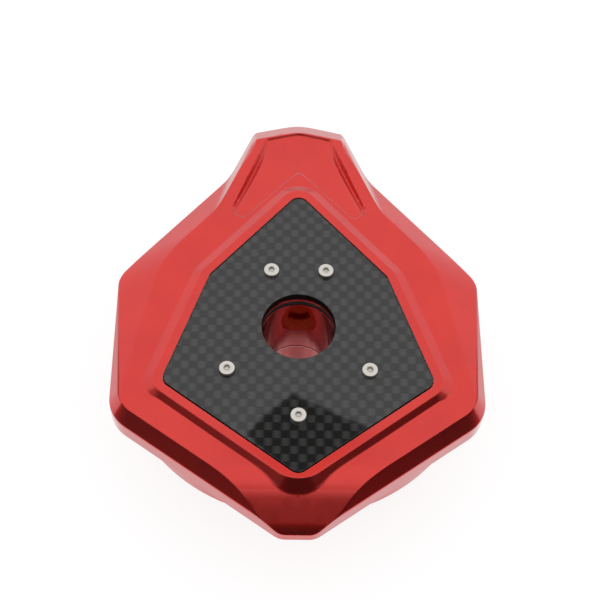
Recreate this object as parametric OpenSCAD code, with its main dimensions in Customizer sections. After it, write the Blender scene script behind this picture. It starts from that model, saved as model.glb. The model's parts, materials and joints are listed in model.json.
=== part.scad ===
// Hinged filler cap of a motorcycle fuel tank: a faceted lid with a carbon insert, hinged by its
// nose on a round base flange, with a latching plug that takes the machine's own lock barrel.
// The origin is the centre of the tank screws on the tank face. +Z is up, +Y points to the hinge.

/* [Base flange] */
// Radius of the round base flange
flange_r = 55.4; // [54:0.1:56]
// Thickness of the base flange
flange_t = 4.3; // [4:0.1:5]
// Break on the flange's outer edges
flange_break = 0.2; // [0.2:0.1:1.2]
// Radius of the circle of tank screws
bolt_circle_r = 44; // [43.5:0.1:46]
// Radius of a tank screw hole
bolt_hole_r = 2.75; // [2.25:0.05:3.25]
// Number of tank screws
bolt_count = 6; // [4:1:8]
// Inner radius of the lip that the latch bars hook under
neck_lip_r = 27.5; // [27.2:0.1:28.5]
// Wall of the filler neck below the lip
neck_wall = 2.2; // [1.6:0.1:3]
// Free height in the neck below the plug
neck_room = 7.3; // [6.5:0.1:12]
// Width of the base gasket
gasket_w = 3.5; // [2:0.1:4]
// Thickness of the base gasket
gasket_t = 1.5; // [1:0.1:2.2]
// Land between the filler neck and the base gasket
gasket_land = 2.3; // [1.5:0.1:3]

/* [Lid outline] */
// Half the width of the lid across its side corners
lid_half_w = 56.2; // [55.5:0.1:58]
// Upper side corner, along Y
up_corner_y = 21.4; // [20:0.1:23]
// Lower side corner, along Y
low_corner_y = -27.6; // [-29:0.1:-26]
// End of the tip
tip_y = -63.4; // [-66:0.1:-62]
// Half the width of the tip's end
tip_half_w = 5.2; // [3:0.1:7]
// Nose shoulder, across
shoulder_x = 22.8; // [21.5:0.1:24]
// Nose shoulder, along Y
shoulder_y = 59.9; // [58:0.1:61]
// Half the width of the nose at its end corners
nose_half_w = 15.1; // [14.9:0.1:16.5]
// Nose end corners, along Y
nose_corner_y = 78.2; // [77.6:0.1:79]
// End of the nose
nose_y = 82; // [81:0.1:84]
// Rounding of the upper side corners
up_round = 6; // [3:0.5:8]
// Rounding of the lower side corners
low_round = 9; // [4:0.5:11]
// Rounding of the nose's end corners
nose_corner_round = 2.5; // [1:0.1:3]
// Rounding of the nose's end
nose_end_round = 20; // [10:1:35]
// Rounding of the tip's corners
tip_round = 2; // [1:0.1:3]

/* [Lid heights] */
// Gap between the flange and the lid
lid_gap = 0.4; // [0.4:0.05:0.8]
// Height of the lid's upright skirt
skirt_h = 5.8; // [5.4:0.1:7]
// Height of the bevels above the skirt
bevel_h = 5.2; // [4.9:0.1:6]
// Height of the raised platform above the main face
platform_h = 1.8; // [1.2:0.1:2.4]
// Thickness of the lid under the insert
roof_t = 4.5; // [4.2:0.1:5.2]
// Radius of the hollow under the lid
hollow_r = 49.5; // [49:0.1:50.5]

/* [Lid facets] */
// Inset of the lower bevels
low_inset = 3.65; // [2.5:0.05:5]
// Inset of the upper bevels
up_inset = 7.9; // [6.5:0.1:9]
// Inset of the side facets at the upper corners
side_inset_up = 12.5; // [10:0.1:14]
// Inset of the side facets at the lower corners
side_inset_low = 1.6; // [1:0.1:3]
// Inset of the nose's side bevels
nose_side_inset = 3.2; // [2:0.1:4]
// Inset of the bevel at the nose's end
nose_end_inset = 6.6; // [5:0.1:7]
// Line where the tip's face bends down, along Y
tip_bend_y = -49.8; // [-51:0.1:-48]
// Slope of the tip's face
tip_slope = 28.5; // [24:0.5:30]
// Length of the chamfer on the tip's end
tip_chamfer = 1.5; // [0.8:0.1:2.5]
// Slope of the chamfer on the tip's end
tip_chamfer_slope = 40; // [35:1:50]
// Rounding of the crease at the lower side corners
low_crease_round = 6; // [3:0.5:8]
// Rounding of the crease at the upper side corners
up_crease_round = 4; // [2:0.5:6]
// Foot of the side facet above the lower side corner
facet_foot = 7.2; // [5:0.1:9]

/* [Nose pocket] */
// Far end of the pocket, along Y
pocket_end_y = 74; // [72:0.1:74.5]
// Half the width of the pocket's far end
pocket_end_half_w = 8.6; // [6:0.1:9.5]
// Half the width of the pocket at its wide corners
pocket_half_w = 21.2; // [18:0.1:22]
// Wide corners of the pocket, along Y
pocket_low_y = 43.4; // [42:0.1:46]
// Land between the platform and the pocket
pocket_land = 2.1; // [1:0.1:4]
// Slope of the pocket's floor
pocket_slope = 3.4; // [1:0.1:3.8]
// Rounding of the pocket's wide corners
pocket_round = 2.2; // [1:0.1:2.5]
// Rounding of the pocket's far corners
pocket_end_round = 1; // [0.5:0.1:1.5]
// Rounding of the pocket's lower edge over the platform's corner
pocket_crown_round = 5; // [3:0.5:7]
// Lean of the pocket's edge between its wide corners and its lower edge
pocket_lean = 50; // [45:1:55]

/* [Carbon insert] */
// Top corner of the insert, along Y
insert_top_y = 48.7; // [47:0.1:49.5]
// Upper side corners, across
insert_up_x = 27.1; // [26:0.1:28]
// Upper side corners, along Y
insert_up_y = 18; // [17:0.1:19]
// Lower side corners, across
insert_low_x = 40.3; // [39:0.1:41]
// Lower side corners, along Y
insert_low_y = -19.2; // [-20:0.1:-18]
// Bottom corner, along Y
insert_bottom_y = -48.7; // [-49.5:0.1:-47.5]
// Rounding of the insert's corners
insert_round = 3; // [1.5:0.1:5]
// Thickness of the insert
insert_t = 3; // [2.4:0.1:3.4]
// Gap round the insert
insert_gap = 0.3; // [0.15:0.05:0.5]
// Width of the rim round the insert
rim_w = 2.7; // [2:0.1:3.2]
// Run of the slope from the rim to the main face
rim_slope = 2.3; // [1.5:0.1:3]
// Upper screws, across
screw_up_x = 8.4; // [7.5:0.1:10]
// Upper screws, along Y
screw_up_y = 19.35; // [18:0.05:21]
// Lower screws, across
screw_low_x = 21.2; // [19:0.1:23]
// Lower screws, along Y
screw_low_y = -15.35; // [-17:0.05:-14]
// Bottom screw, along Y
screw_bottom_y = -30.5; // [-32:0.1:-28]
// Radius of a small screw's thread
small_thread_r = 1.25; // [1:0.05:1.5]
// Radius of a small screw's head
small_head_r = 2.35; // [2:0.05:2.6]
// Height of a small screw's head
small_head_h = 1.4; // [1:0.05:1.8]
// Width across the flats of a small screw's socket
small_socket_w = 1.5; // [1.2:0.05:1.8]
// Thread of an insert screw in the lid
insert_grip = 3.4; // [2.4:0.1:3.8]

/* [Lock bore] */
// Radius of the bore for the lock barrel
lock_r = 11.2; // [10.8:0.05:11.5]
// Depth of the bore below the insert's top
lock_depth = 31.8; // [30:0.1:34]
// Wall of the boss round the bore
boss_wall = 3.3; // [2.6:0.1:3.5]
// Thickness of the shelf at the bore's bottom
shelf_t = 1.7; // [1.2:0.1:2.5]
// Depth of the O-ring's middle below the insert's top
ring_depth = 5.2; // [4.8:0.1:7]
// Radius of the O-ring's section
ring_section_r = 1.05; // [0.8:0.05:1.2]
// How far the O-ring stands into the bore
ring_proud = 0.12; // [0.05:0.01:0.2]

/* [Plug] */
// Radius of the plug's flange
plug_flange_r = 39.5; // [38.8:0.1:39.6]
// Thickness of the plug's flange
plug_flange_t = 3.8; // [3.4:0.1:4.2]
// Gap between the neck's lip and the plug's top
plug_gap = 1.2; // [0.9:0.1:1.8]
// Taper of the plug's radius over its height
plug_taper = 3.7; // [3.5:0.1:4.2]
// Circle of the plug's screws, radius
plug_screw_circle_r = 36.3; // [36:0.1:36.5]
// Radius of a plug screw's thread
plug_thread_r = 1.5; // [1.25:0.05:1.75]
// Radius of a plug screw's head
plug_head_r = 2.6; // [2.3:0.05:2.7]
// Height of a plug screw's head
plug_head_h = 1.7; // [1.4:0.1:2]
// Width across the flats of a plug screw's socket
plug_socket_w = 2; // [1.6:0.1:2.4]
// Thread of a plug screw in the lid
plug_grip = 2.8; // [2.2:0.1:3.2]
// Depth of a plug screw's head below the plug's flange
head_sink = 0.1; // [0.1:0.1:0.4]
// Width of the neck seal
seal_w = 4.8; // [4:0.1:5]
// Land between the neck's mouth and the neck seal
seal_land = 0.5; // [0.3:0.1:0.8]
// Shoulder on each side of the neck seal's lip
seal_shoulder = 0.6; // [0.4:0.1:1]
// Radius of the neck seal's lip
seal_lip_r = 0.7; // [0.5:0.05:0.9]
// Depth of the neck seal's groove
seal_groove = 1; // [0.6:0.1:1.4]
// Gap between the neck seal and the flange
seal_gap = 0.2; // [0.1:0.05:0.3]
// Thickness of the bottom cover
cover_t = 2; // [1.5:0.1:2.5]
// Inset of the bottom cover from the plug's end
cover_inset = 1.1; // [0.8:0.1:1.6]
// Circle of the cover's screws, radius
cover_screw_circle_r = 18.6; // [18.2:0.1:18.8]
// Thread of a cover screw in the plug
cover_grip = 5; // [4:0.1:6]
// Radius of the air hole in the cover
cover_hole_r = 0.9; // [0.6:0.1:1.2]

/* [Latch] */
// Thickness of the lock cam
cam_t = 1.8; // [1.4:0.1:2.4]
// Radius of the cam's hub
cam_hub_r = 4.95; // [4.4:0.05:5.2]
// Rim of the cam outside its slots
cam_rim = 0.7; // [0.5:0.1:1.2]
// Length of the slot for the lock's tail
tail_slot_l = 7; // [5:0.1:7.5]
// Width of the slot for the lock's tail
tail_slot_w = 2.4; // [1.6:0.1:3]
// Turn of the cam from open to latched
cam_turn = 90; // [80:1:95]
// Width of a latch bar
bar_w = 10; // [8:0.1:10.5]
// Thickness of a latch bar
bar_t = 2.1; // [1.7:0.1:2.6]
// Inner end of a latch bar from the lock's axis
bar_start = 3; // [2:0.1:4]
// Room between an open latch bar and the lip
bar_retract = 2.3; // [2.2:0.1:2.6]
// How far a latched bar reaches under the lip
bar_hook = 2; // [1.4:0.1:2.2]
// Room between a latched bar and the neck's wall
bar_room = 1; // [0.8:0.1:1.5]
// Radius of a follower pin
follower_r = 1.25; // [1:0.05:1.4]
// Follower pin from the lock's axis when open
follower_start = 6.7; // [6.6:0.1:7.2]
// Gap round a follower pin in its slot
follower_gap = 0.35; // [0.2:0.05:0.4]
// Gap above a follower pin's end
follower_end_gap = 0.1; // [0.05:0.05:0.2]
// Sliding gap above and below the cam and the bars
slide_gap = 0.3; // [0.2:0.05:0.4]

/* [Hinge] */
// Hinge axis, along Y
hinge_y = 74.5; // [74.2:0.1:74.6]
// Height of the hinge axis
hinge_z = 7.8; // [7.6:0.1:8]
// Radius of the hinge pin
hinge_pin_r = 1.75; // [1.5:0.05:1.85]
// Radius of the ears round the pin
ear_r = 3.5; // [3.2:0.05:3.6]
// Thickness of an ear
ear_t = 4.3; // [3.5:0.1:4.5]
// Half the room between the ears
ear_room = 5.7; // [5.5:0.1:5.9]
// Gap between the ears and the lid
ear_gap = 0.4; // [0.3:0.05:0.45]
// Length of an ear behind the hinge axis
ear_l = 8.4; // [7.5:0.1:9.5]
// Height of an ear's back above the hinge axis
ear_back_h = 1.2; // [0.8:0.1:1.6]
// Overlap of the hinge arm with the round flange
arm_root = 8; // [5:0.5:10]
// Room behind the ears in the nose's hollow
hollow_back = 6; // [5:0.5:7]
// Radius of a hinge bush
bush_r = 2.5; // [2.3:0.05:2.6]
// Length of a hinge bush
bush_l = 4.2; // [3.5:0.1:4.4]
// Running gap of the hinge pin
pin_gap = 0.05; // [0.02:0.01:0.08]
// Depth of the hinge pin's ends in the bushes
pin_sink = 0.2; // [0.1:0.1:0.5]
// Radius of the hinge spring's wire
coil_wire_r = 0.45; // [0.35:0.05:0.45]
// Radius of the hinge spring's coil
coil_r = 2.7; // [2.6:0.05:2.75]
// Turns of the hinge spring
coil_turns = 5.5; // [4.5:1:5.5]
// Length of the hinge spring's legs
coil_leg = 11; // [8:0.5:12]
// Rise of the lid's leg of the hinge spring
coil_leg_rise = 0.45; // [0.3:0.05:0.5]
// Gap between the hinge spring's ends and the ears
coil_side_gap = 1.2; // [0.8:0.1:1.6]

/* [Vent and buffers] */
// Vent valve from the lock's axis
vent_offset = 18.7; // [18.5:0.1:18.8]
// Radius of the vent valve's bore
vent_bore_r = 3; // [2.8:0.05:3.1]
// Radius of the vent's air hole
vent_hole_r = 1.3; // [1:0.05:1.5]
// Length of the vent seat
vent_seat_l = 3; // [2:0.1:4]
// Depth of the valve's bore above the cover
vent_depth = 11.7; // [11:0.1:13]
// Radius of the vent ball
vent_ball_r = 1.9; // [1.7:0.05:2.1]
// Radius of the vent spring's wire
vent_wire_r = 0.25; // [0.2:0.05:0.3]
// Radius of the vent spring's coil
vent_coil_r = 1.55; // [1.4:0.05:1.6]
// Turns of the vent spring
vent_turns = 4; // [3:0.5:5]
// Gap at the vent ball's seat and below the vent spring
vent_gap = 0.1; // [0.05:0.05:0.15]
// Gap between the vent ball and its spring
vent_spring_gap = 0.25; // [0.2:0.05:0.3]
// Radius of a lid buffer
buffer_r = 3; // [2:0.1:3.5]
// Radius of a lid buffer's stem
buffer_stem_r = 1.5; // [1:0.1:1.8]
// Length of a lid buffer's stem
buffer_stem_l = 2.6; // [1.5:0.1:3]
// Gap between a lid buffer and the flange
buffer_gap = 0.3; // [0.1:0.05:0.4]
// Gap between a lid buffer and the hollow's wall
buffer_wall_gap = 2.5; // [1.5:0.1:3]
// Gap between a lid buffer and the plug's flange
buffer_side_gap = 0.4; // [0.3:0.05:0.8]
// Angle between a lid buffer and the tip
buffer_angle = 21; // [16:1:26]

/* [Hidden] */
$fn = 64;

// Sinks of joined forms, gaps of seated pieces, threads, pressed pins and passing screws
eps = 0.05;
fit = 0.05;
thread_fit = 0.02;
press_fit = 0.01;
screw_gap = 0.15;
head_gap = 0.2;
hole_end = 0.4;

// How far cuts run past a face, and the size of a cutting block
cut = 1;
over = 20;

// Counts that set how finely round forms are drawn, and the screws' places and forms
arc_steps = 5;
coil_facets = 8;
slot_steps = 16;
slot_end_steps = 8;
bolt_start = 30;
screw_count = 4;
screw_start = 45;
dome_ratio = 1.25;
socket_floor = 0.4;

// Heights
skirt_z = flange_t + lid_gap;
edge_z = skirt_z + skirt_h;
face_z = edge_z + bevel_h;
top_z = face_z + platform_h;
seat_z = top_z - insert_t;
roof_z = seat_z - roof_t;
shelf_z = top_z - lock_depth;
boss_z = shelf_z - shelf_t;
cam_top = boss_z - slide_gap;
cam_bottom = cam_top - cam_t;
bar_top = cam_bottom - slide_gap;
bar_bottom = bar_top - bar_t;
plug_z = bar_bottom - slide_gap;
cover_z = plug_z - cover_t;
neck_z = cover_z - neck_room;
plug_flange_z = roof_z - plug_flange_t;

// Radii
boss_r = lock_r + boss_wall;
plug_bore_r = boss_r + fit;
plug_top_r = neck_lip_r - plug_gap;
plug_end_r = plug_top_r - plug_taper;
cover_r = plug_end_r - cover_inset;
bar_stroke = bar_retract + bar_hook;
bar_end = neck_lip_r - bar_retract;
undercut_r = neck_lip_r + bar_hook + bar_room;
neck_r = undercut_r + neck_wall;
lip_z = bar_top + slide_gap;
gasket_r = neck_r + gasket_land;
cam_r = follower_start + bar_stroke + follower_r + follower_gap + cam_rim;
seal_r = neck_lip_r + seal_land;
ring_mid_r = lock_r - ring_proud + ring_section_r;
buffer_circle_r = hollow_r - buffer_r - buffer_wall_gap;

// Hinge places
ear_half_w = ear_room + ear_t;
cheek_x = ear_half_w + ear_gap;
nose_hollow_r = ear_r + ear_gap;
arm_end_y = hinge_y - nose_hollow_r - eps;
ear_back_y = hinge_y - ear_l;
nose_hollow_y = ear_back_y - hollow_back;
coil_half_l = ear_room - coil_wire_r - coil_side_gap;

// Plane outlines

// A corner list mirrored to the left side, in order round the outline
function both(right) = concat(right, [for (i = [len(right) - 1:-1:0]) if (right[i].x > 0)
    [-right[i].x, right[i].y]]);

function unit(v) = v / norm(v);

function side_normal(a, b) = unit([b.y - a.y, a.x - b.x]);

// Convex outline moved outwards by d, or inwards if d is negative
function grow(p, d) = let (n = len(p)) [for (i = [0:n - 1])
    let (n1 = side_normal(p[(i + n - 1) % n], p[i]), n2 = side_normal(p[i], p[(i + 1) % n]))
    p[i] + (n1 + n2) * d / (1 + n1 * n2)];

// One rounded corner as points on its arc
function corner(a, p, b, r, steps) = let (u = unit(a - p), v = unit(b - p), half = acos(u * v) / 2,
    c = p + unit(u + v) * r / sin(half), s = p + u * r / tan(half) - c, e = p + v * r / tan(half) - c,
    a0 = atan2(s.y, s.x), turn = atan2(s.x * e.y - s.y * e.x, s * e))
    [for (k = [0:steps]) c + r * [cos(a0 + turn * k / steps), sin(a0 + turn * k / steps)]];

// Outline with every corner rounded by its own radius
function rounded(p, r, steps = arc_steps) = let (n = len(p)) [for (i = [0:n - 1])
    each corner(p[(i + n - 1) % n], p[i], p[(i + 1) % n], is_list(r) ? r[i] : r, steps)];

// Where the line a-b crosses the line c-d
function cross_point(a, b, c, d) = let (u = b - a, v = d - c, w = c - a)
    a + u * (w.x * v.y - w.y * v.x) / (u.x * v.y - u.y * v.x);

// The point on the line a-b at a given Y
function at_y(a, b, y) = a + (b - a) * (y - a.y) / (b.y - a.y);

function at_z(p, z) = [for (q = p) [q.x, q.y, z]];

// Points of a form with an upright skirt and bevels up to its crease
function skirted(outline, outline_rounds, crease, crease_rounds) =
    let (edge = rounded(outline, outline_rounds))
    concat(at_z(rounded(crease, crease_rounds), face_z), at_z(edge, edge_z), at_z(edge, skirt_z));

// Lid corners on the right side, at the skirt
tip_p = [tip_half_w, tip_y];
low_p = [lid_half_w, low_corner_y];
up_p = [lid_half_w, up_corner_y];
shoulder_p = [shoulder_x, shoulder_y];
nose_p = [nose_half_w, nose_corner_y];
nose_end_p = [0, nose_y];

chamfer_y = tip_y + tip_chamfer;

// How far the nose runs back inside the body and the body runs on inside the nose
nose_run = 20;
body_run = 9;
inner_round = 1;
nose_root_y = shoulder_y - nose_run;
body_end_y = shoulder_y + body_run;

// Lid creases on the right side, at the main face
low_n = side_normal(tip_p, low_p);
up_n = side_normal(up_p, shoulder_p);
nose_n = side_normal(shoulder_p, nose_p);
side_a = [up_p.x - side_inset_up, up_p.y];
side_b = [low_p.x - side_inset_low, low_p.y];
low_c = cross_point(side_a, side_b, tip_p - low_n * low_inset, low_p - low_n * low_inset);
up_c = cross_point(side_a, side_b, up_p - up_n * up_inset, shoulder_p - up_n * up_inset);
tip_c = at_y(tip_p - low_n * low_inset, low_p - low_n * low_inset, tip_y);
nose_end_c = [0, nose_y - nose_end_inset];
nose_c = at_y(shoulder_p - nose_n * nose_side_inset, nose_p - nose_n * nose_side_inset,
    nose_end_c.y - (nose_y - nose_corner_y) / 2);

// Body of the lid without its nose
body_outline = both([tip_p, low_p, up_p, at_y(up_p, shoulder_p, body_end_y)]);
body_crease = both([tip_c, low_c, up_c, at_y(up_c, up_c + shoulder_p - up_p, body_end_y - up_inset)]);
body_rounds = concat([tip_round, low_round, up_round, inner_round],
    [inner_round, up_round, low_round, tip_round]);
crease_rounds = concat([inner_round, low_crease_round, up_crease_round, inner_round],
    [inner_round, up_crease_round, low_crease_round, inner_round]);

// The side facet is flat: its lower end meets the wall higher up
side_n = side_normal(low_c, up_c);
side_low_p = [lid_half_w, low_corner_y + facet_foot];
side_low_z = face_z - bevel_h * ((side_low_p - up_c) * side_n) / ((up_p - up_c) * side_n);

// Nose, reaching back into the body
nose_root_p = at_y(nose_p, shoulder_p, nose_root_y);
nose_root_c = at_y(nose_c, nose_c + shoulder_p - nose_p, nose_root_y);
nose_outline = both([nose_root_p, nose_p, nose_end_p]);
nose_crease = both([nose_root_c, nose_c, nose_end_c]);
nose_rounds = [inner_round, nose_corner_round, nose_end_round, nose_corner_round, inner_round];

// Carbon insert and the platform round it
insert_p = both([[0, insert_bottom_y], [insert_low_x, insert_low_y], [insert_up_x, insert_up_y],
    [0, insert_top_y]]);
foot_grow = rim_w + insert_gap + rim_slope;
insert_screw_places = both([[0, screw_bottom_y], [screw_low_x, screw_low_y],
    [screw_up_x, screw_up_y]]);

// Pocket on the nose, with its lower edge along the platform
land_a = grow(insert_p, foot_grow + pocket_land)[3];
land_b = grow(insert_p, foot_grow + pocket_land)[2];
pocket_side_p = [pocket_half_w, pocket_low_y];
pocket_end_p = [pocket_end_half_w, pocket_end_y];
pocket_low_p = cross_point(land_a, land_b, pocket_side_p,
    pocket_side_p - [cos(pocket_lean), sin(pocket_lean)]);
pocket_points = both([[0, land_a.y], pocket_low_p, pocket_side_p, pocket_end_p]);
pocket_rounds = concat([pocket_crown_round, pocket_round, pocket_round, pocket_end_round],
    [pocket_end_round, pocket_round, pocket_round]);

// Vent heights
vent_seat_z = plug_z + vent_depth - vent_seat_l;
vent_ball_z = vent_seat_z - sqrt(pow(vent_ball_r, 2) - pow(vent_hole_r, 2)) - vent_gap;
vent_spring_low = plug_z + vent_wire_r + vent_gap;
vent_spring_high = vent_ball_z - sqrt(pow(vent_ball_r, 2) - pow(vent_coil_r, 2)) - vent_wire_r
    - vent_spring_gap;

// Colours
red = [0.80, 0.13, 0.11];
black = [0.10, 0.10, 0.11];
steel = [0.78, 0.78, 0.76];
bronze = [0.72, 0.50, 0.28];

// A solid spanned by points
module span(points) {
    hull() polyhedron(points, [[for (i = [0:len(points) - 1]) i]]);
}

// Copies round the lock's axis
module around(count, r, start) {
    for (i = [0:count - 1]) rotate(start + 360 * i / count) translate([r, 0, 0]) children();
}

// A round bar across the part, along the hinge axis
module hinge_bar(x, r, length) {
    translate([x, hinge_y, hinge_z]) rotate([0, 90, 0]) cylinder(r = r, h = length);
}

// A tube of wire along a path that winds about an axis
module wire(path, r, axis, sides = 6) {
    n = len(path);
    dirs = [for (i = [0:n - 1]) unit(path[min(i + 1, n - 1)] - path[max(i - 1, 0)])];
    rings = [for (i = [0:n - 1]) let (u = unit(cross(dirs[i], axis)), w = cross(dirs[i], u))
        each [for (k = [0:sides - 1])
        path[i] + r * (u * cos(360 * k / sides) + w * sin(360 * k / sides))]];
    polyhedron(rings, concat(
        [[for (k = [0:sides - 1]) k]],
        [for (i = [0:n - 2]) for (k = [0:sides - 1])
            let (a = i * sides + k, b = i * sides + (k + 1) % sides)
            each [[b, a, a + sides], [b, a + sides, b + sides]]],
        [[for (k = [sides - 1:-1:0]) (n - 1) * sides + k]]));
}

// Least gap of a wire to itself, between points a whole turn apart or more
function wire_gap(path, r, skip) = min([for (i = [0:len(path) - 1])
    for (j = [i + skip:1:len(path) - 1]) norm(path[i] - path[j])]) - 2 * r;

// A button-head screw standing on z = 0, with its hexagon socket
module button_screw(thread_r, head_r, head_h, length, socket_w) {
    difference() {
        union() {
            intersection() {
                cylinder(r = head_r, h = head_h);
                translate([0, 0, head_h - head_r * dome_ratio]) sphere(r = head_r * dome_ratio);
            }
            translate([0, 0, -length]) cylinder(r = thread_r, h = length + eps);
        }
        translate([0, 0, head_h * socket_floor])
            cylinder(r = socket_w / sqrt(3), h = head_h, $fn = 6);
    }
}

// Base flange with the filler neck and the hinge ears
module base_flange() {
    color(red) difference() {
        union() {
            rotate_extrude() polygon([[neck_lip_r, flange_t], [neck_lip_r, lip_z], [undercut_r, lip_z],
                [undercut_r, neck_z], [neck_r, neck_z], [neck_r, 0], [flange_r - flange_break, 0],
                [flange_r, flange_break], [flange_r, flange_t - flange_break],
                [flange_r - flange_break, flange_t]]);
            translate([-ear_half_w, flange_r - arm_root, 0])
                cube([2 * ear_half_w, arm_end_y - flange_r + arm_root, flange_t]);
            for (x = [-ear_half_w, ear_room]) {
                translate([x, ear_back_y, flange_t - eps])
                    cube([ear_t, hinge_y - ear_back_y, hinge_z + ear_back_h - flange_t + eps]);
                hinge_bar(x, ear_r, ear_t);
            }
        }
        around(bolt_count, bolt_circle_r, bolt_start) translate([0, 0, -cut])
            cylinder(r = bolt_hole_r, h = flange_t + 2 * cut);
        translate([0, 0, -cut]) rotate_extrude() translate([gasket_r, 0])
            square([gasket_w, gasket_t + cut]);
        hinge_bar(-over, hinge_pin_r + press_fit, 2 * over);
    }
}

module base_gasket() {
    color(black) rotate_extrude() translate([gasket_r + fit, 0])
        square([gasket_w - 2 * fit, gasket_t]);
}

module hinge_pin() {
    half = cheek_x + bush_l - pin_sink;
    color(steel) hinge_bar(-half, hinge_pin_r, 2 * half);
}

// Torsion spring on the hinge pin: one leg on the base's arm, the other under the lid's nose
coil_steps = coil_facets * coil_turns;
hinge_spring_path = concat(
    [for (y = [coil_leg, coil_leg / 2]) [coil_half_l, hinge_y - y, hinge_z - coil_r]],
    [for (i = [0:coil_steps]) let (a = -90 + 360 * coil_turns * i / coil_steps)
        [coil_half_l * (1 - 2 * i / coil_steps), hinge_y + coil_r * cos(a), hinge_z + coil_r * sin(a)]],
    [for (s = [0.5, 1]) [-coil_half_l, hinge_y - coil_leg * s, hinge_z + coil_r + coil_leg_rise * s]]);

module hinge_spring() {
    echo(hinge_spring_gap = wire_gap(hinge_spring_path, coil_wire_r, coil_facets - 2));
    color(steel) wire(hinge_spring_path, coil_wire_r, [1, 0, 0]);
}

// Faceted outer form of the lid
module lid_form() {
    difference() {
        union() {
            span(concat(skirted(body_outline, body_rounds, body_crease, crease_rounds),
                at_z(both([side_low_p]), side_low_z)));
            span(skirted(nose_outline, nose_rounds, nose_crease, nose_rounds));
        }
        translate([0, tip_bend_y, face_z]) rotate([tip_slope, 0, 0]) tip_block();
        translate([0, chamfer_y, face_z - (tip_bend_y - chamfer_y) * tan(tip_slope)])
            rotate([tip_chamfer_slope, 0, 0]) tip_block();
        translate([0, pocket_end_y, face_z]) rotate([pocket_slope, 0, 0])
            translate([0, -pocket_end_y, 0]) linear_extrude(over)
            polygon(rounded(pocket_points, pocket_rounds));
    }
    rim = rounded(grow(insert_p, rim_w + insert_gap), insert_round + rim_w);
    foot = rounded(grow(insert_p, foot_grow), insert_round + foot_grow);
    span(concat(at_z(rim, top_z), at_z(foot, face_z), at_z(foot, roof_z)));
}

// Block that cuts the tip's faces, lying towards the tip
module tip_block() {
    translate([-2 * over, -2 * over, 0]) cube([4 * over, 2 * over, over]);
}

module lid_body() {
    color(red) difference() {
        union() {
            difference() {
                lid_form();
                translate([0, 0, skirt_z - cut]) cylinder(r = hollow_r, h = roof_z - skirt_z + cut);
                nose_hollow();
            }
            translate([0, 0, boss_z]) cylinder(r = boss_r, h = seat_z - boss_z - cut);
        }
        translate([0, 0, seat_z]) linear_extrude(over)
            polygon(rounded(grow(insert_p, insert_gap), insert_round));
        translate([0, 0, shelf_z]) cylinder(r = lock_r, h = top_z - shelf_z);
        translate([0, 0, boss_z - cut]) cylinder(r = cam_hub_r + fit, h = shelf_t + 2 * cut);
        ring_groove();
        insert_screw_holes(seat_z - insert_grip - hole_end, small_thread_r + thread_fit, insert_grip + cut);
        around(screw_count, plug_screw_circle_r, screw_start) translate([0, 0, roof_z - cut])
            cylinder(r = plug_thread_r + thread_fit, h = plug_grip + hole_end + cut);
        buffer_places() translate([0, 0, roof_z - cut])
            cylinder(r = buffer_stem_r + fit, h = buffer_stem_l + hole_end + cut);
        hinge_bar(-2 * over, bush_r + thread_fit, 4 * over);
    }
}

// Room in the nose for the hinge's ears and spring, with its upper back corner cut off round the ears
module nose_hollow() {
    corner = nose_hollow_r * (sqrt(2) - 1);
    low = skirt_z - cut;
    back = hinge_y + nose_hollow_r;
    ceiling = hinge_z + nose_hollow_r;
    translate([-cheek_x, 0, 0]) rotate([90, 0, 90]) linear_extrude(2 * cheek_x)
        polygon([[nose_hollow_y, low], [back, low], [back, hinge_z + corner], [hinge_y + corner, ceiling],
            [nose_hollow_y, ceiling]]);
}

// Groove that holds the O-ring in the bore's wall
module ring_groove() {
    depth = ring_mid_r + ring_section_r + fit - lock_r;
    translate([0, 0, top_z - ring_depth - ring_section_r - fit]) rotate_extrude()
        translate([lock_r - cut, 0]) square([depth + cut, 2 * (ring_section_r + fit)]);
}

module insert_screw_holes(z, r, h) {
    for (p = insert_screw_places) translate([p.x, p.y, z]) cylinder(r = r, h = h);
}

module buffer_places() {
    for (side = [-1, 1]) rotate(-90 + side * buffer_angle) translate([buffer_circle_r, 0, 0])
        children();
}

module carbon_insert() {
    color(black) difference() {
        translate([0, 0, seat_z]) linear_extrude(insert_t) polygon(rounded(insert_p, insert_round));
        translate([0, 0, seat_z - cut]) cylinder(r = lock_r, h = insert_t + 2 * cut);
        insert_screw_holes(seat_z - cut, small_thread_r + screw_gap, insert_t + 2 * cut);
    }
}

module insert_screws() {
    color(steel) for (p = insert_screw_places) translate([p.x, p.y, top_z])
        button_screw(small_thread_r, small_head_r, small_head_h, insert_t + insert_grip, small_socket_w);
}

module bore_ring() {
    color(black) translate([0, 0, top_z - ring_depth]) rotate_extrude() translate([ring_mid_r, 0])
        circle(r = ring_section_r, $fn = 24);
}

module hinge_bushes() {
    color(bronze) for (x = [cheek_x, -cheek_x - bush_l]) difference() {
        hinge_bar(x, bush_r, bush_l);
        hinge_bar(x - cut, hinge_pin_r + pin_gap, bush_l + 2 * cut);
    }
}

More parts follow.
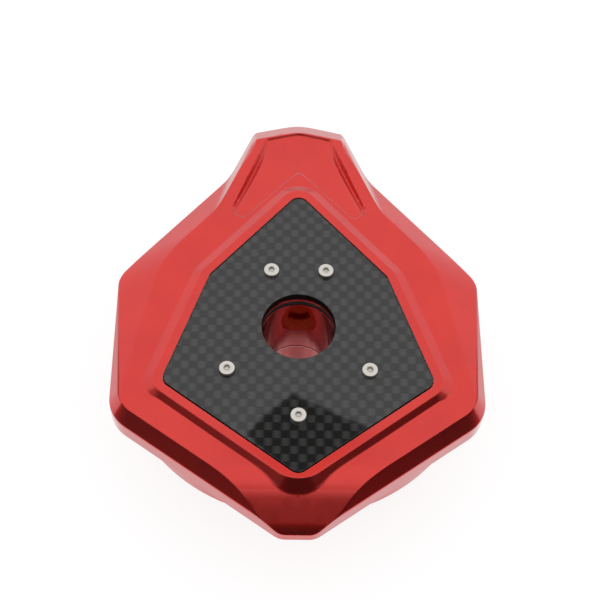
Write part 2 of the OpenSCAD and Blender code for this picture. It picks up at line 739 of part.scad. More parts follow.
// Plug under the lid: carries the seal, the vent, the cam and the latch bars
module plug_housing() {
    color(black) difference() {
        rotate_extrude() polygon([[plug_bore_r, roof_z], [plug_bore_r, plug_z], [plug_end_r, plug_z],
            [plug_top_r, plug_flange_z], [plug_flange_r, plug_flange_z], [plug_flange_r, roof_z]]);
        translate([0, 0, plug_flange_z - cut]) rotate_extrude() translate([seal_r, 0])
            square([seal_w, seal_groove + cut]);
        translate([-2 * over, -bar_w / 2 - slide_gap, plug_z - cut])
            cube([4 * over, bar_w + 2 * slide_gap, lip_z - plug_z + cut]);
        around(screw_count, plug_screw_circle_r, screw_start) translate([0, 0, plug_flange_z - cut]) {
            cylinder(r = plug_thread_r + screw_gap, h = plug_flange_t + 2 * cut);
            cylinder(r = plug_head_r + head_gap, h = plug_head_h + head_sink + cut);
        }
        around(screw_count, cover_screw_circle_r, screw_start) translate([0, 0, plug_z - cut])
            cylinder(r = small_thread_r + thread_fit, h = cover_grip + hole_end + cut);
        translate([0, -vent_offset, plug_z - cut]) cylinder(r = vent_bore_r, h = vent_depth + cut);
        translate([0, -vent_offset, plug_z]) cylinder(r = vent_hole_r, h = roof_z - plug_z + cut);
        buffer_places() translate([0, 0, plug_flange_z - cut])
            cylinder(r = buffer_r + buffer_side_gap, h = plug_flange_t + 2 * cut);
    }
}

module plug_screws() {
    head_z = plug_flange_z + plug_head_h + head_sink;
    color(steel) around(screw_count, plug_screw_circle_r, screw_start) translate([0, 0, head_z])
        rotate([180, 0, 0])
        button_screw(plug_thread_r, plug_head_r, plug_head_h, roof_z + plug_grip - head_z, plug_socket_w);
}

// Rubber ring with a rounded lip that seals on the flange
module neck_seal() {
    lip_mid_z = flange_t + seal_gap + seal_lip_r;
    color(black) rotate_extrude() {
        translate([seal_r + fit, plug_flange_z]) square([seal_w - 2 * fit, seal_groove]);
        translate([seal_r + seal_shoulder, lip_mid_z])
            square([seal_w - 2 * seal_shoulder, plug_flange_z - lip_mid_z + eps]);
        translate([seal_r + seal_w / 2, lip_mid_z]) intersection() {
            circle(r = seal_lip_r, $fn = 32);
            translate([-seal_lip_r, -seal_lip_r]) square([2 * seal_lip_r, seal_lip_r + eps]);
        }
    }
}

module bottom_cover() {
    color(steel) difference() {
        translate([0, 0, cover_z]) cylinder(r = cover_r, h = cover_t);
        around(screw_count, cover_screw_circle_r, screw_start) translate([0, 0, cover_z - cut])
            cylinder(r = small_thread_r + screw_gap, h = cover_t + 2 * cut);
        translate([0, -vent_offset, cover_z - cut]) cylinder(r = cover_hole_r, h = cover_t + 2 * cut);
    }
}

module cover_screws() {
    color(steel) around(screw_count, cover_screw_circle_r, screw_start) translate([0, 0, cover_z])
        rotate([180, 0, 0])
        button_screw(small_thread_r, small_head_r, small_head_h, cover_t + cover_grip, small_socket_w);
}

module vent_seat() {
    color(bronze) translate([0, -vent_offset, vent_seat_z]) difference() {
        cylinder(r = vent_bore_r - press_fit, h = vent_seat_l);
        translate([0, 0, -cut]) cylinder(r = vent_hole_r, h = vent_seat_l + 2 * cut);
    }
}

module vent_ball() {
    color(steel) translate([0, -vent_offset, vent_ball_z]) sphere(r = vent_ball_r);
}

vent_steps = coil_facets * vent_turns;
vent_spring_path = [for (i = [0:vent_steps]) let (a = 360 * vent_turns * i / vent_steps)
    [vent_coil_r * cos(a), vent_coil_r * sin(a) - vent_offset,
        vent_spring_low + (vent_spring_high - vent_spring_low) * i / vent_steps]];

module vent_spring() {
    echo(vent_coil_gap = wire_gap(vent_spring_path, vent_wire_r, coil_facets - 2));
    color(steel) wire(vent_spring_path, vent_wire_r, [0, 0, 1]);
}

module lid_buffers() {
    color(black) buffer_places() {
        translate([0, 0, flange_t + buffer_gap])
            cylinder(r = buffer_r, h = roof_z - flange_t - buffer_gap);
        translate([0, 0, roof_z - eps]) cylinder(r = buffer_stem_r, h = buffer_stem_l);
    }
}

// Points along a spiral slot of the cam, moved sideways by d
function spiral_point(t, d) = let (r = follower_start + bar_stroke * t, a = -cam_turn * t,
    slope = bar_stroke / (cam_turn * PI / 180),
    along = unit([slope * cos(a) + r * sin(a), slope * sin(a) - r * cos(a)]))
    r * [cos(a), sin(a)] + d * [along.y, -along.x];

// Points round one end of a spiral slot
function slot_end(t, w) = let (p = spiral_point(t, 0), s = spiral_point(t, t == 0 ? -w : w) - p,
    a = atan2(s.y, s.x), turn = 180 / slot_end_steps)
    [for (k = [1:slot_end_steps - 1]) p + w * [cos(a + turn * k), sin(a + turn * k)]];

module spiral_slot() {
    w = follower_r + follower_gap;
    linear_extrude(cam_t + cut + fit) polygon(concat(
        [for (i = [0:slot_steps]) spiral_point(i / slot_steps, w)], slot_end(1, w),
        [for (i = [slot_steps:-1:0]) spiral_point(i / slot_steps, -w)], slot_end(0, w)));
}

// Disc that the lock's tail turns: its spiral slots move both latch bars
module lock_cam() {
    color(bronze) difference() {
        union() {
            translate([0, 0, cam_bottom]) cylinder(r = cam_r, h = cam_t);
            translate([0, 0, cam_top - eps]) cylinder(r = cam_hub_r, h = shelf_z - cam_top + eps);
        }
        for (side = [0, 180]) rotate(side) translate([0, 0, cam_bottom - cut]) spiral_slot();
        translate([-tail_slot_l / 2, -tail_slot_w / 2, cam_bottom - cut])
            cube([tail_slot_l, tail_slot_w, over]);
    }
}

// Latch bar on the right side, open
module latch_bar() {
    color(steel) difference() {
        intersection() {
            translate([bar_start, -bar_w / 2, bar_bottom]) cube([bar_end - bar_start, bar_w, bar_t]);
            translate([0, 0, bar_bottom - cut]) cylinder(r = bar_end, h = bar_t + 2 * cut);
        }
        translate([follower_start, 0, bar_bottom - cut])
            cylinder(r = follower_r + press_fit, h = bar_t + 2 * cut);
    }
}

module follower() {
    color(bronze) translate([follower_start, 0, bar_bottom])
        cylinder(r = follower_r, h = cam_top - bar_bottom - follower_end_gap);
}

module latch_bar_left() { rotate(180) latch_bar(); }

module latch_bar_right() { latch_bar(); }

module follower_left() { rotate(180) follower(); }

module follower_right() { follower(); }

base_flange();
base_gasket();
hinge_pin();
hinge_spring();
lid_body();
carbon_insert();
insert_screws();
bore_ring();
hinge_bushes();
plug_housing();
plug_screws();
neck_seal();
bottom_cover();
cover_screws();
vent_seat();
vent_ball();
vent_spring();
lid_buffers();
lock_cam();
latch_bar_left();
latch_bar_right();
follower_left();
follower_right();
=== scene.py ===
"""Looks of a hinged filler cap: finer meshes, finishes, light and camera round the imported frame.

Shapes are worked out in millimetres in the part's frame, and become metres when a mesh is made.
"""

import json
import math

import bpy
import numpy as np
from mathutils import Matrix, Vector
from mathutils.geometry import delaunay_2d_cdt


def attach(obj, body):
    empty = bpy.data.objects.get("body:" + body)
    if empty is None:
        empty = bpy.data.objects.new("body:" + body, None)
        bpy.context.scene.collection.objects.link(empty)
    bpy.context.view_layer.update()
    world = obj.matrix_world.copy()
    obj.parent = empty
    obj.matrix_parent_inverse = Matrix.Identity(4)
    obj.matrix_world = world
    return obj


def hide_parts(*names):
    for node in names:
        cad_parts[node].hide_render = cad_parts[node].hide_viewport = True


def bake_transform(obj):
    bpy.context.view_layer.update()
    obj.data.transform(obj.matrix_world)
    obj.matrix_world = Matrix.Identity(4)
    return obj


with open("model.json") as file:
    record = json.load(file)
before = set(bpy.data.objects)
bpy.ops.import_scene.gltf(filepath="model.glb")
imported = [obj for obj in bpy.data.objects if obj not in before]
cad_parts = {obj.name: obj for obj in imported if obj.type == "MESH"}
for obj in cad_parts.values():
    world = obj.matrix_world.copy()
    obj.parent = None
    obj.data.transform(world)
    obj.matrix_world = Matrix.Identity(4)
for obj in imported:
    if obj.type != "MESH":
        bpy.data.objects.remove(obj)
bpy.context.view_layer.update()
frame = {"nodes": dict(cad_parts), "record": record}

MM = 0.001
ABOVE = np.array([0.0, 0.0, 1.0])
BELOW = -ABOVE

# Lid outline, right half from the tip to the nose: corner and rounding
TIP = (5.2, -63.4, 6.0)
LOW = (56.2, -27.6, 12.0)
UP = (56.2, 21.4, 8.5)
SHOULDER = (22.8, 59.9, 24.0)
NOSE = (15.1, 78.2, 3.0)
NOSE_END = (0.0, 82.0, 20.0)

# Heights
SKIRT_Z = 4.45
EDGE_Z = 10.5
FACE_Z = 15.7
TOP_Z = 17.5
SEAT_Z = 14.5
ROOF_Z = 10.0
SHELF_Z = -14.3
BOSS_Z = -16.0

# Bevels of the lid: how far each runs inwards, and how softly they meet
BEVEL_H = FACE_Z - EDGE_Z
LOW_INSET = 3.25
UP_INSET = 7.9
NOSE_SIDE_INSET = 3.2
NOSE_END_INSET = 6.0
NOSE_EDGE_Z = 11.3
NOSE_END_SOFT = 2.5
SIDE_UP = (43.5, 21.4)
SIDE_LOW = (53.6, -27.6)
SIDE_FALL = 0.426
NOSE_ROOT_Y = 38.0
NOSE_ROOT_RISE = 1.5
BODY_END_Y = 70.0
BODY_END_FALL = 0.6
UP_SOFT = 2.5
LOW_SOFT = 0.5
NOSE_SOFT = 1.0
SHOULDER_SOFT = 1.2
CREASE_SOFT = 0.25
SIDE_CREASE_SOFT = 0.3
NOSE_CREASE_SOFT = 2.6
NOSE_CREASE_FADE = 8.0

# Tip: bend of its face and chamfer at its end
TIP_BEND_Y = -49.8
TIP_BEND_HALF = 5.0
TIP_FALL = math.tan(math.radians(28.5))
CHAMFER_Y = -61.9
CHAMFER_FALL = math.tan(math.radians(40))
CHAMFER_SOFT = 0.4

# Insert, right half, and the platform round it
INSERT = [(0.0, -48.7, 3.0), (40.3, -19.2, 3.0), (27.1, 18.0, 3.0), (0.0, 48.7, 3.0)]
INSERT_GAP = 0.4
RIM = [(0.0, -52.42, 10.0), (43.87, -20.3, 5.7), (29.75, 19.43, 5.7), (0.0, 53.24, 5.7)]
RIM_FALLS = [(-90, 1.2), (-53.8, 1.02), (-40, 0.75), (0, 0.55), (90, 0.6)]
RIM_SOFT = 0.14
FOOT_SOFT = 0.16
TIP_FOOT_SOFT = 0.35
TIP_FOOT_Y = (-37.0, -48.0)

# Pocket on the nose, right half
POCKET = [(0.0, 59.5), (17.6, 40.2), (22.2, 43.6), (11.0, 72.5), (0.0, 75.2)]
POCKET_TRACE = [(0.0, 59.2, 3.0), (17.6, 40.2, 2.0), (22.2, 43.6, 2.0), (11.0, 72.5, 1.0), (0.0, 75.2, 4.0)]
POCKET_CROWN = 1.0
POCKET_SOFT = 2.0
POCKET_END_SOFT = 1.0
POCKET_LOW_DEPTH = 0.5
POCKET_MID_DEPTH = 0.3
POCKET_END_DEPTH = 0.55
POCKET_WALL_FALL = 1.15
POCKET_WALL_SOFT = 0.2
POCKET_GROOVE_W = 3.0
POCKET_GROOVE_DEPTH = 1.45

# Rows of mesh points along the rim and the pocket's edge, by their distance from it
RIM_ROWS = (-0.4, -0.1, 0.2, 0.5, 1.4, 2.2, 3.0, 3.6, 4.2)
POCKET_ROWS = (-0.1, 0.08, 0.3, 0.6, 0.9, 1.3, 2.2)

# Edges and hollows of the lid
TOP_EDGE = 0.22
BOTTOM_EDGE = 0.08
RECESS_EDGE = 0.15
INSERT_EDGE = 0.15
HOLLOW_R = 49.5
HOLLOW_FILLET = 1.2
BOSS_R = 14.5
BOSS_FILLET = 0.8
BOSS_EDGE = 0.4
LOCK_R = 11.2
LOCK_FILLET = 0.2
HUB_HOLE_R = 5.0
HUB_EDGE = 0.2
GROOVE_R = 13.23
GROOVE_LOW = 11.2
GROOVE_HIGH = 13.4
GROOVE_EDGE = 0.15
GROOVE_FILLET = 0.3
NOSE_HOLLOW = [(60.1, SKIRT_Z), (60.1, 11.7), (76.115, 11.7), (78.4, 9.415), (78.4, SKIRT_Z)]
NOSE_HOLLOW_X = 10.4
HINGE_Y = 74.5
HINGE_Z = 7.8
BUSH_HOLE_R = 2.52
BUSH_END_X = 14.65
PIN_HOLE_R = 2.1

# Springs: the hinge's coil and its two legs, and the vent's coil
HINGE_COIL_R = 2.7
HINGE_COIL_HALF = 4.05
HINGE_TURNS = 5.5
HINGE_LEG = 11.0
HINGE_LEG_RISE = 0.45
HINGE_WIRE_R = 0.45
VENT_OFFSET = 18.7
VENT_SPRING_LOW = -20.45
VENT_SPRING_HIGH = -15.18
VENT_COIL_R = 1.55
VENT_TURNS = 4.0
VENT_WIRE_R = 0.25

# Base flange: its wall is drawn in under the lid's edge, in front of the hinge
FLANGE_R = 55.4
DRAWN_R = 54.75
DRAWN_END_Y = 45.0
DRAWN_FADE = 20.0
FLANGE_MARGIN = 0.05

# Screws: their places, the height that the heads stand on, and the length below the head
INSERT_SCREWS = [(0.0, -30.5), (21.2, -15.35), (8.4, 19.35), (-8.4, 19.35), (-21.2, -15.35)]
INSERT_SCREW_HOLE_R = 1.4
INSERT_SCREW_L = 6.4
PLUG_SCREW_CIRCLE_R = 36.3
PLUG_SCREW_Z = 8.0
PLUG_SCREW_L = 4.7
COVER_SCREW_CIRCLE_R = 18.6
COVER_SCREW_Z = -22.8
COVER_SCREW_L = 7.0
SCREW_COUNT = 4
SCREW_START = 45
SMALL_SCREW = {"thread_r": 1.25, "head_r": 2.35, "head_h": 1.4, "socket_w": 1.7}
PLUG_SCREW = {"thread_r": 1.5, "head_r": 2.6, "head_h": 1.7, "socket_w": 2.0}
THREAD_AXIS_R = 0.01
THREAD_END = 0.3
HEAD_FOOT = 0.1
HEAD_EDGE = 0.28
HEAD_CROWN = 0.1
SOCKET_MOUTH = 1.14
SOCKET_RING = 1.02
SOCKET_LIP = 0.06
SOCKET_SINK = 0.14
SOCKET_FLOOR = 0.4
SOCKET_DRILL = 0.25
SOCKET_LEAN = 0.3

# Fineness of round shapes
ROUND_STEPS = 96
HEAD_STEPS = 48
HOLE_STEPS = 24
COIL_STEPS = 24
LEG_STEPS = 8
WIRE_CAP_ROWS = 4
EDGE_ROWS = 4
LATHE_BEND = 22.5


# Plane geometry

def unit(v):
    v = np.asarray(v, float)
    return v / np.linalg.norm(v)


def right_of(v):
    return np.array([v[1], -v[0]])


def turned(v, angle):
    c, s = math.cos(angle), math.sin(angle)
    return np.array([c * v[0] - s * v[1], s * v[0] + c * v[1]])


def mirrored(right):
    """Corners of the right half and their mirror images, in order round the shape."""
    return list(right) + [(-c[0],) + tuple(c[1:]) for c in reversed(right) if c[0] > 0]


def trace(corners, closed=True, gap=None, bend=10):
    """Points of a path with rounded corners, and its right-hand normals before and after each."""
    xy = [np.array(c[:2], float) for c in corners]
    count = len(xy)
    marks = []
    for i, p in enumerate(xy):
        first = not closed and i == 0
        last = not closed and i == count - 1
        on = None if last else unit(xy[(i + 1) % count] - p)
        back = on if first else unit(p - xy[i - 1])
        on = back if last else on
        turn = math.atan2(back[0] * on[1] - back[1] * on[0], back @ on)
        radius = corners[i][2] if len(corners[i]) > 2 else 0
        if radius == 0 or abs(turn) < 1e-6:
            marks.append((p, right_of(back), right_of(on)))
            continue
        side = math.copysign(1, turn)
        reach = radius * math.tan(abs(turn) / 2)
        centre = p - back * reach - side * radius * right_of(back)
        steps = max(2, math.ceil(abs(math.degrees(turn)) / bend))
        for k in range(steps + 1):
            n = turned(right_of(back), turn * k / steps)
            marks.append((centre + side * radius * n, n, n))
    spaced = []
    for i, (p, before, after) in enumerate(marks):
        spaced.append((p, before, after))
        if gap is None or (not closed and i == len(marks) - 1):
            continue
        q, q_before, _ = marks[(i + 1) % len(marks)]
        if after @ q_before < 1 - 1e-9:
            continue
        parts = math.ceil(np.linalg.norm(q - p) / gap)
        spaced.extend((p + (q - p) * k / parts, after, after) for k in range(1, parts))
    return tuple(np.array(column) for column in zip(*spaced))


def ring(r, centre=(0.0, 0.0), steps=ROUND_STEPS):
    a = np.arange(steps) * 2 * math.pi / steps
    return np.stack([centre[0] + r * np.cos(a), centre[1] + r * np.sin(a)], 1)


def inside(points, loops):
    """Which points lie inside an odd number of closed loops."""
    x, y = points[:, :1], points[:, 1:]
    odd = np.zeros(len(points), bool)
    for loop in loops:
        a, b = loop, np.roll(loop, -1, 0)
        span = (a[:, 1] > y) != (b[:, 1] > y)
        slope = (b[:, 0] - a[:, 0]) / np.where(b[:, 1] == a[:, 1], 1, b[:, 1] - a[:, 1])
        odd ^= (span & (x < a[:, 0] + (y - a[:, 1]) * slope)).sum(1) % 2 == 1
    return odd


def spacing(points, loop):
    """Distance of points to a closed loop."""
    best = np.full(len(points), np.inf)
    for a, b in zip(loop, np.roll(loop, -1, 0)):
        t = np.clip((points - a) @ (b - a) / ((b - a) @ (b - a)), 0, 1)[:, None]
        best = np.minimum(best, ((points - a - t * (b - a)) ** 2).sum(1))
    return np.sqrt(best)


def convex_distance(corners):
    """Distance to a convex outline with rounded corners, below zero inside, and the way away from it."""
    xy = np.array([c[:2] for c in corners], float)
    normals = np.array([right_of(unit(b - a)) for a, b in zip(xy, np.roll(xy, -1, 0))])

    def measure(points):
        each = np.stack([(points - a) @ n for a, n in zip(xy, normals)], 1)
        nearest = each.argmax(1)
        away = each.max(1)
        way = normals[nearest]
        for i, corner in enumerate(corners):
            r = corner[2]
            m, n = normals[i - 1], normals[i]
            v = points - (xy[i] - r * (m + n) / (1 + m @ n))
            past_one = m[0] * v[:, 1] >= m[1] * v[:, 0]
            before_next = v[:, 0] * n[1] >= v[:, 1] * n[0]
            between = past_one & before_next & (v @ (m + n) > 0)
            length = np.linalg.norm(v[between], axis=1)
            away[between] = length - r
            way[between] = v[between] / length[:, None]
        return away, way

    return measure


def soft_min(a, b, k):
    h = np.clip(1 - np.abs(a - b) / k, 0, None)
    return np.minimum(a, b) - h * h * k / 4


def soft_max(a, b, k):
    return -soft_min(-a, -b, k)


# Meshes

class Shell:
    """Faces in millimetres, welded where their points meet, with a normal at every corner."""

    def __init__(self):
        self.index = {}
        self.points = []
        self.faces = []
        self.normals = []
        self.finish = 0
        self.finishes = []

    def vertex(self, p):
        key = tuple(round(float(c), 3) + 0.0 for c in p)
        if key not in self.index:
            self.index[key] = len(self.points)
            self.points.append([float(c) for c in p])
        return self.index[key]

    def face(self, points, normals):
        """Adds a face that looks the way its normals point."""
        ids, kept, corners = [], [], []
        for p, n in zip(points, normals):
            i = self.vertex(p)
            if i not in ids:
                ids.append(i)
                kept.append(n)
                corners.append(np.asarray(p, float))
        if len(ids) < 3:
            return
        facing = np.cross(corners[1] - corners[0], corners[2] - corners[0])
        if len(ids) > 3:
            facing = facing + np.cross(corners[2] - corners[0], corners[3] - corners[0])
        if facing @ np.sum(kept, 0) < 0:
            ids.reverse()
            kept.reverse()
        self.faces.append(ids)
        self.normals.extend(kept)
        self.finishes.append(self.finish)

    def strip(self, columns, closed=True, left_out=()):
        """Joins neighbouring columns of (point, normal before, normal after) by rows of faces.

        left_out holds the (column, row) of faces that stay open.
        """
        count = len(columns)
        for i in range(count if closed else count - 1):
            a, b = columns[i], columns[(i + 1) % count]
            for k in range(len(a) - 1):
                if (i, k) in left_out:
                    continue
                self.face([a[k][0], b[k][0], b[k + 1][0], a[k + 1][0]],
                          [a[k][2], b[k][2], b[k + 1][1], a[k + 1][1]])

    def patch(self, loops, place, normal):
        """Fills the plane between closed loops; place puts a plane point into space."""
        points, triangles, _ = triangulate(loops, [])
        for t in triangles:
            self.face([place(points[i]) for i in t], [normal] * 3)

    def lathe(self, profile, centre=(0.0, 0.0), flip=1, base=0.0, steps=ROUND_STEPS):
        """Turns a path of (radius, height) round an upright axis; flip -1 turns it upside down."""
        points, before, after = profile
        columns = []
        for k in range(steps):
            a = 2 * math.pi * k / steps
            c, s = math.cos(a), math.sin(a)
            columns.append([(
                (centre[0] + p[0] * c, centre[1] + p[0] * s, base + flip * p[1]),
                np.array([m[0] * c, m[0] * s, flip * m[1]]),
                np.array([n[0] * c, n[0] * s, flip * n[1]]),
            ) for p, m, n in zip(points, before, after)])
        self.strip(columns)

    def build(self, name, slot, body, replaced=(), blend=None, inner=None):
        """Makes the object, and says which body it rides on and which nodes it stands for.

        Faces added while self.finish is 1 take the inner finish.
        """
        mesh = bpy.data.meshes.new(name)
        mesh.from_pydata((np.array(self.points) * MM).tolist(), [], self.faces)
        mesh.shade_smooth()
        mesh.normals_split_custom_set([unit(n).tolist() for n in self.normals])
        mesh.materials.append(FINISHES[slot])
        if inner:
            mesh.materials.append(FINISHES[inner])
            mesh.polygons.foreach_set("material_index", self.finishes)
        piece = bpy.data.objects.new(name, mesh)
        bpy.context.scene.collection.objects.link(piece)
        if blend:
            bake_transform(piece)
        else:
            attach(piece, body)
        if replaced:
            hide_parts(*replaced)
        return piece


def bowed(loops, straightness=1e-5, probe=0.002, bow=5e-5):
    """Loops with their straight runs bowed a hair into the material, so no triangle degenerates."""
    result = []
    for loop in loops:
        count = len(loop)
        back, on = loop - np.roll(loop, 1, 0), np.roll(loop, -1, 0) - loop
        bend = back[:, 0] * on[:, 1] - back[:, 1] * on[:, 0]
        straight = np.abs(bend) < straightness * np.linalg.norm(back, axis=1) * np.linalg.norm(on, axis=1)
        moved = loop.copy()
        for i in range(count):
            if straight[i] or not straight[(i + 1) % count]:
                continue
            run = 1
            while straight[(i + run) % count]:
                run += 1
            left = -right_of(unit(loop[(i + 1) % count] - loop[i]))
            middle = (loop[i] + loop[(i + 1) % count]) / 2
            if not inside((middle + left * probe)[None], loops)[0]:
                left = -left
            for k in range(1, run):
                moved[(i + k) % count] += left * bow * k * (run - k)
        result.append(moved.astype(np.float32).astype(float))
    return result


def triangulate(loops, extra):
    """Points, triangles between closed loops and through extra points, and the edges on a loop."""
    true = np.concatenate(loops + [np.reshape(extra, (-1, 2))])
    shapes = bowed(loops)
    flat = np.concatenate(shapes + [np.reshape(extra, (-1, 2)).astype(np.float32).astype(float)])
    edges, start = [], 0
    for loop in loops:
        edges.extend((start + i, start + (i + 1) % len(loop)) for i in range(len(loop)))
        start += len(loop)
    made = delaunay_2d_cdt([Vector(p) for p in flat], edges, [], 0, 1e-7)
    source = np.array([s[0] for s in made[3]])
    triangles = source[np.array(made[2])]
    keep = inside(flat[triangles].mean(1), shapes)
    border = {tuple(sorted(e)) for e in edges}
    return true, triangles[keep], border


def drape(shell, loops, guides, height, gap=3.0, tolerance=0.006, least=0.2, passes=7):
    """Covers the plane between loops with triangles that follow z = height(points)."""
    low, high = loops[0].min(0), loops[0].max(0)
    grid = np.stack(np.meshgrid(np.arange(low[0], high[0], gap), np.arange(low[1], high[1], gap)), -1)
    extra = np.concatenate([grid.reshape(-1, 2)] + guides)
    extra = extra[inside(extra, loops)]
    for loop in loops:
        extra = extra[spacing(extra, loop) > least]
    for _ in range(passes):
        xy, triangles, border = triangulate(loops, extra)
        sides = [triangles[:, ends] for ends in ([0, 1], [1, 2], [2, 0])]
        pairs = np.unique(np.sort(np.concatenate(sides)), axis=0)
        pairs = np.array([p for p in pairs if tuple(p) not in border])
        z = height(xy)
        middle = xy[pairs].mean(1)
        off = np.abs(height(middle) - z[pairs].mean(1))
        long = np.linalg.norm(xy[pairs[:, 0]] - xy[pairs[:, 1]], axis=1) > least
        wanted = middle[(off > tolerance) & long]
        if not len(wanted):
            break
        extra = np.concatenate([extra, wanted])
    xy, triangles, _ = triangulate(loops, extra)
    z = height(xy)
    normals = surface_normals(xy, height)
    space = np.column_stack([xy, z])
    for t in triangles:
        shell.face(space[t], normals[t])


def surface_normals(xy, height, step=0.01):
    dx, dy = np.array([step, 0]), np.array([0, step])
    fall_x = (height(xy - dx) - height(xy + dx)) / (2 * step)
    fall_y = (height(xy - dy) - height(xy + dy)) / (2 * step)
    n = np.column_stack([fall_x, fall_y, np.ones(len(xy))])
    return n / np.linalg.norm(n, axis=1)[:, None]


def rolled_edge(p, n, z, fall, width, rows=EDGE_ROWS):
    """Points and normals of an edge that rolls from a surface into an upright wall.

    p is the wall's plane point and n its outward normal; the surface ends width inside the wall
    at height z, and falls outwards by fall.
    """
    corner = z - fall * width
    reach = width * math.hypot(1, fall)
    marks = []
    for k in range(rows + 1):
        t = k / rows
        out = -width * (1 - t) ** 2
        rise = z * (1 - t) ** 2 + corner * 2 * t * (1 - t) + (corner - reach) * t * t
        run = 2 * width * (1 - t)
        drop = -2 * (1 - t) * fall * width - 2 * t * reach
        flat = unit((-drop, run))
        normal = np.array([n[0] * flat[0], n[1] * flat[0], flat[1]])
        marks.append(((p[0] + n[0] * out, p[1] + n[1] * out, rise), normal, normal))
    return marks


def upright(p, n, z):
    normal = np.array([n[0], n[1], 0.0])
    return (p[0], p[1], z), normal, normal


def bottom_edge(p, n, z, width, rows=3):
    """Quarter-round edge from an upright wall to a level underside at height z."""
    marks = []
    for k in range(rows + 1):
        a = math.pi / 2 * k / rows
        normal = np.array([n[0] * math.cos(a), n[1] * math.cos(a), -math.sin(a)])
        out = -width * (1 - math.cos(a))
        rise = z + width * (1 - math.sin(a))
        marks.append(((p[0] + n[0] * out, p[1] + n[1] * out, rise), normal, normal))
    return marks


# Lid

def inward(x, y, a, b):
    """Distance from the line through two outline corners towards the inside."""
    n = right_of(unit((b[0] - a[0], b[1] - a[1])))
    return (a[0] - x) * n[0] + (a[1] - y) * n[1]


rim_distance = convex_distance(mirrored(RIM))
BEVEL_APEX_Y = TIP[1] - TIP[0] * (LOW[1] - TIP[1]) / (LOW[0] - TIP[0])
low_distance = convex_distance(mirrored([(0.0, BEVEL_APEX_Y, 0.0), LOW, (LOW[0], 2 * NOSE_END[1], 0.0)]))
CHAMFER_Z = FACE_Z - TIP_FALL * (TIP_BEND_Y - CHAMFER_Y)


def tip_face(y):
    t = TIP_BEND_Y - y
    bent = np.clip(t + TIP_BEND_HALF, 0, 2 * TIP_BEND_HALF) ** 2 / (4 * TIP_BEND_HALF)
    return FACE_Z - TIP_FALL * (bent + np.clip(t - TIP_BEND_HALF, 0, None))


def bevels(x, y):
    """Height of the facets round the lid, and the softness of their crease with the main face."""
    lower = EDGE_Z - low_distance(np.stack([x, y], 1))[0] * BEVEL_H / LOW_INSET
    upper = EDGE_Z + inward(x, y, UP, SHOULDER) * BEVEL_H / UP_INSET
    side = FACE_Z + inward(x, y, SIDE_LOW, SIDE_UP) * SIDE_FALL
    nose_side = EDGE_Z + inward(x, y, SHOULDER, NOSE) * BEVEL_H / NOSE_SIDE_INSET
    end_x = np.hypot(x, NOSE_END_SOFT)
    nose_end = NOSE_EDGE_Z + inward(end_x, y, NOSE, NOSE_END) * (FACE_Z - NOSE_EDGE_Z) / NOSE_END_INSET
    root = EDGE_Z + (y - NOSE_ROOT_Y) * NOSE_ROOT_RISE
    body_end = EDGE_Z + (BODY_END_Y - y) * BODY_END_FALL
    body = soft_min(soft_min(soft_min(upper, side, UP_SOFT), lower, LOW_SOFT), body_end, NOSE_SOFT)
    nose = soft_min(soft_min(nose_side, nose_end, NOSE_SOFT), root, NOSE_SOFT)
    by_side = np.clip((np.minimum(upper, lower) - side) / UP_SOFT, 0, 1)
    by_side = by_side * by_side * (3 - 2 * by_side)
    past_shoulder = np.clip((y - SHOULDER[1]) / NOSE_CREASE_FADE, 0, 1)
    by_nose = past_shoulder * np.clip((nose_end - nose_side) / NOSE_SOFT, 0, 1)
    crease = CREASE_SOFT + (SIDE_CREASE_SOFT - CREASE_SOFT) * by_side
    crease = crease + (NOSE_CREASE_SOFT - CREASE_SOFT) * by_nose
    return soft_max(body, nose, SHOULDER_SOFT), crease


def platform(points):
    """Height of the raised platform and the slope round it."""
    away, way = rim_distance(points)
    angle = np.degrees(np.arctan2(way[:, 1], np.abs(way[:, 0])))
    fall = np.interp(angle, *zip(*RIM_FALLS))
    slope = TOP_Z - np.where(away > 0, fall, 1) * away
    return soft_min(slope, np.full(len(points), TOP_Z), RIM_SOFT)


def pocket_cut(x, y):
    """Depth of the pocket on the nose: leaning walls, a hollowed floor and a groove along both sides."""
    crown_x = np.hypot(x, POCKET_CROWN)
    across = (crown_x, x, x, crown_x)
    low, short, side, end = (-inward(px, y, a, b) for px, a, b in zip(across, POCKET, POCKET[1:]))
    away = soft_max(soft_max(low, short, POCKET_SOFT), soft_max(side, end, POCKET_END_SOFT), POCKET_SOFT)
    far = np.clip(low / (low + end - 1e-9), 0, 1)
    depth = POCKET_LOW_DEPTH + (POCKET_END_DEPTH - POCKET_LOW_DEPTH) * far
    depth = depth + POCKET_MID_DEPTH * 4 * far * (1 - far)
    groove = np.clip(1 + side / POCKET_GROOVE_W, 0, 1)
    depth = depth + POCKET_GROOVE_DEPTH * groove * 4 * far * (1 - far)
    cut = soft_min(-away * POCKET_WALL_FALL, depth, POCKET_WALL_SOFT)
    return np.where(away < 0, np.maximum(cut, 0), 0)


def lid_height(points):
    x, y = np.abs(points[:, 0]), points[:, 1]
    edge, crease = bevels(x, y)
    z = soft_min(tip_face(y), edge, crease)
    z = soft_min(z, CHAMFER_Z + (y - CHAMFER_Y) * CHAMFER_FALL, CHAMFER_SOFT)
    near_tip = np.clip((TIP_FOOT_Y[0] - y) / (TIP_FOOT_Y[0] - TIP_FOOT_Y[1]), 0, 1)
    z = soft_max(z, platform(points), FOOT_SOFT + (TIP_FOOT_SOFT - FOOT_SOFT) * near_tip)
    return z - pocket_cut(x, y)


def hinge_ring(r):
    """Circle round the hinge's axis, as points (y, z)."""
    return ring(r, (HINGE_Y, HINGE_Z), HOLE_STEPS)


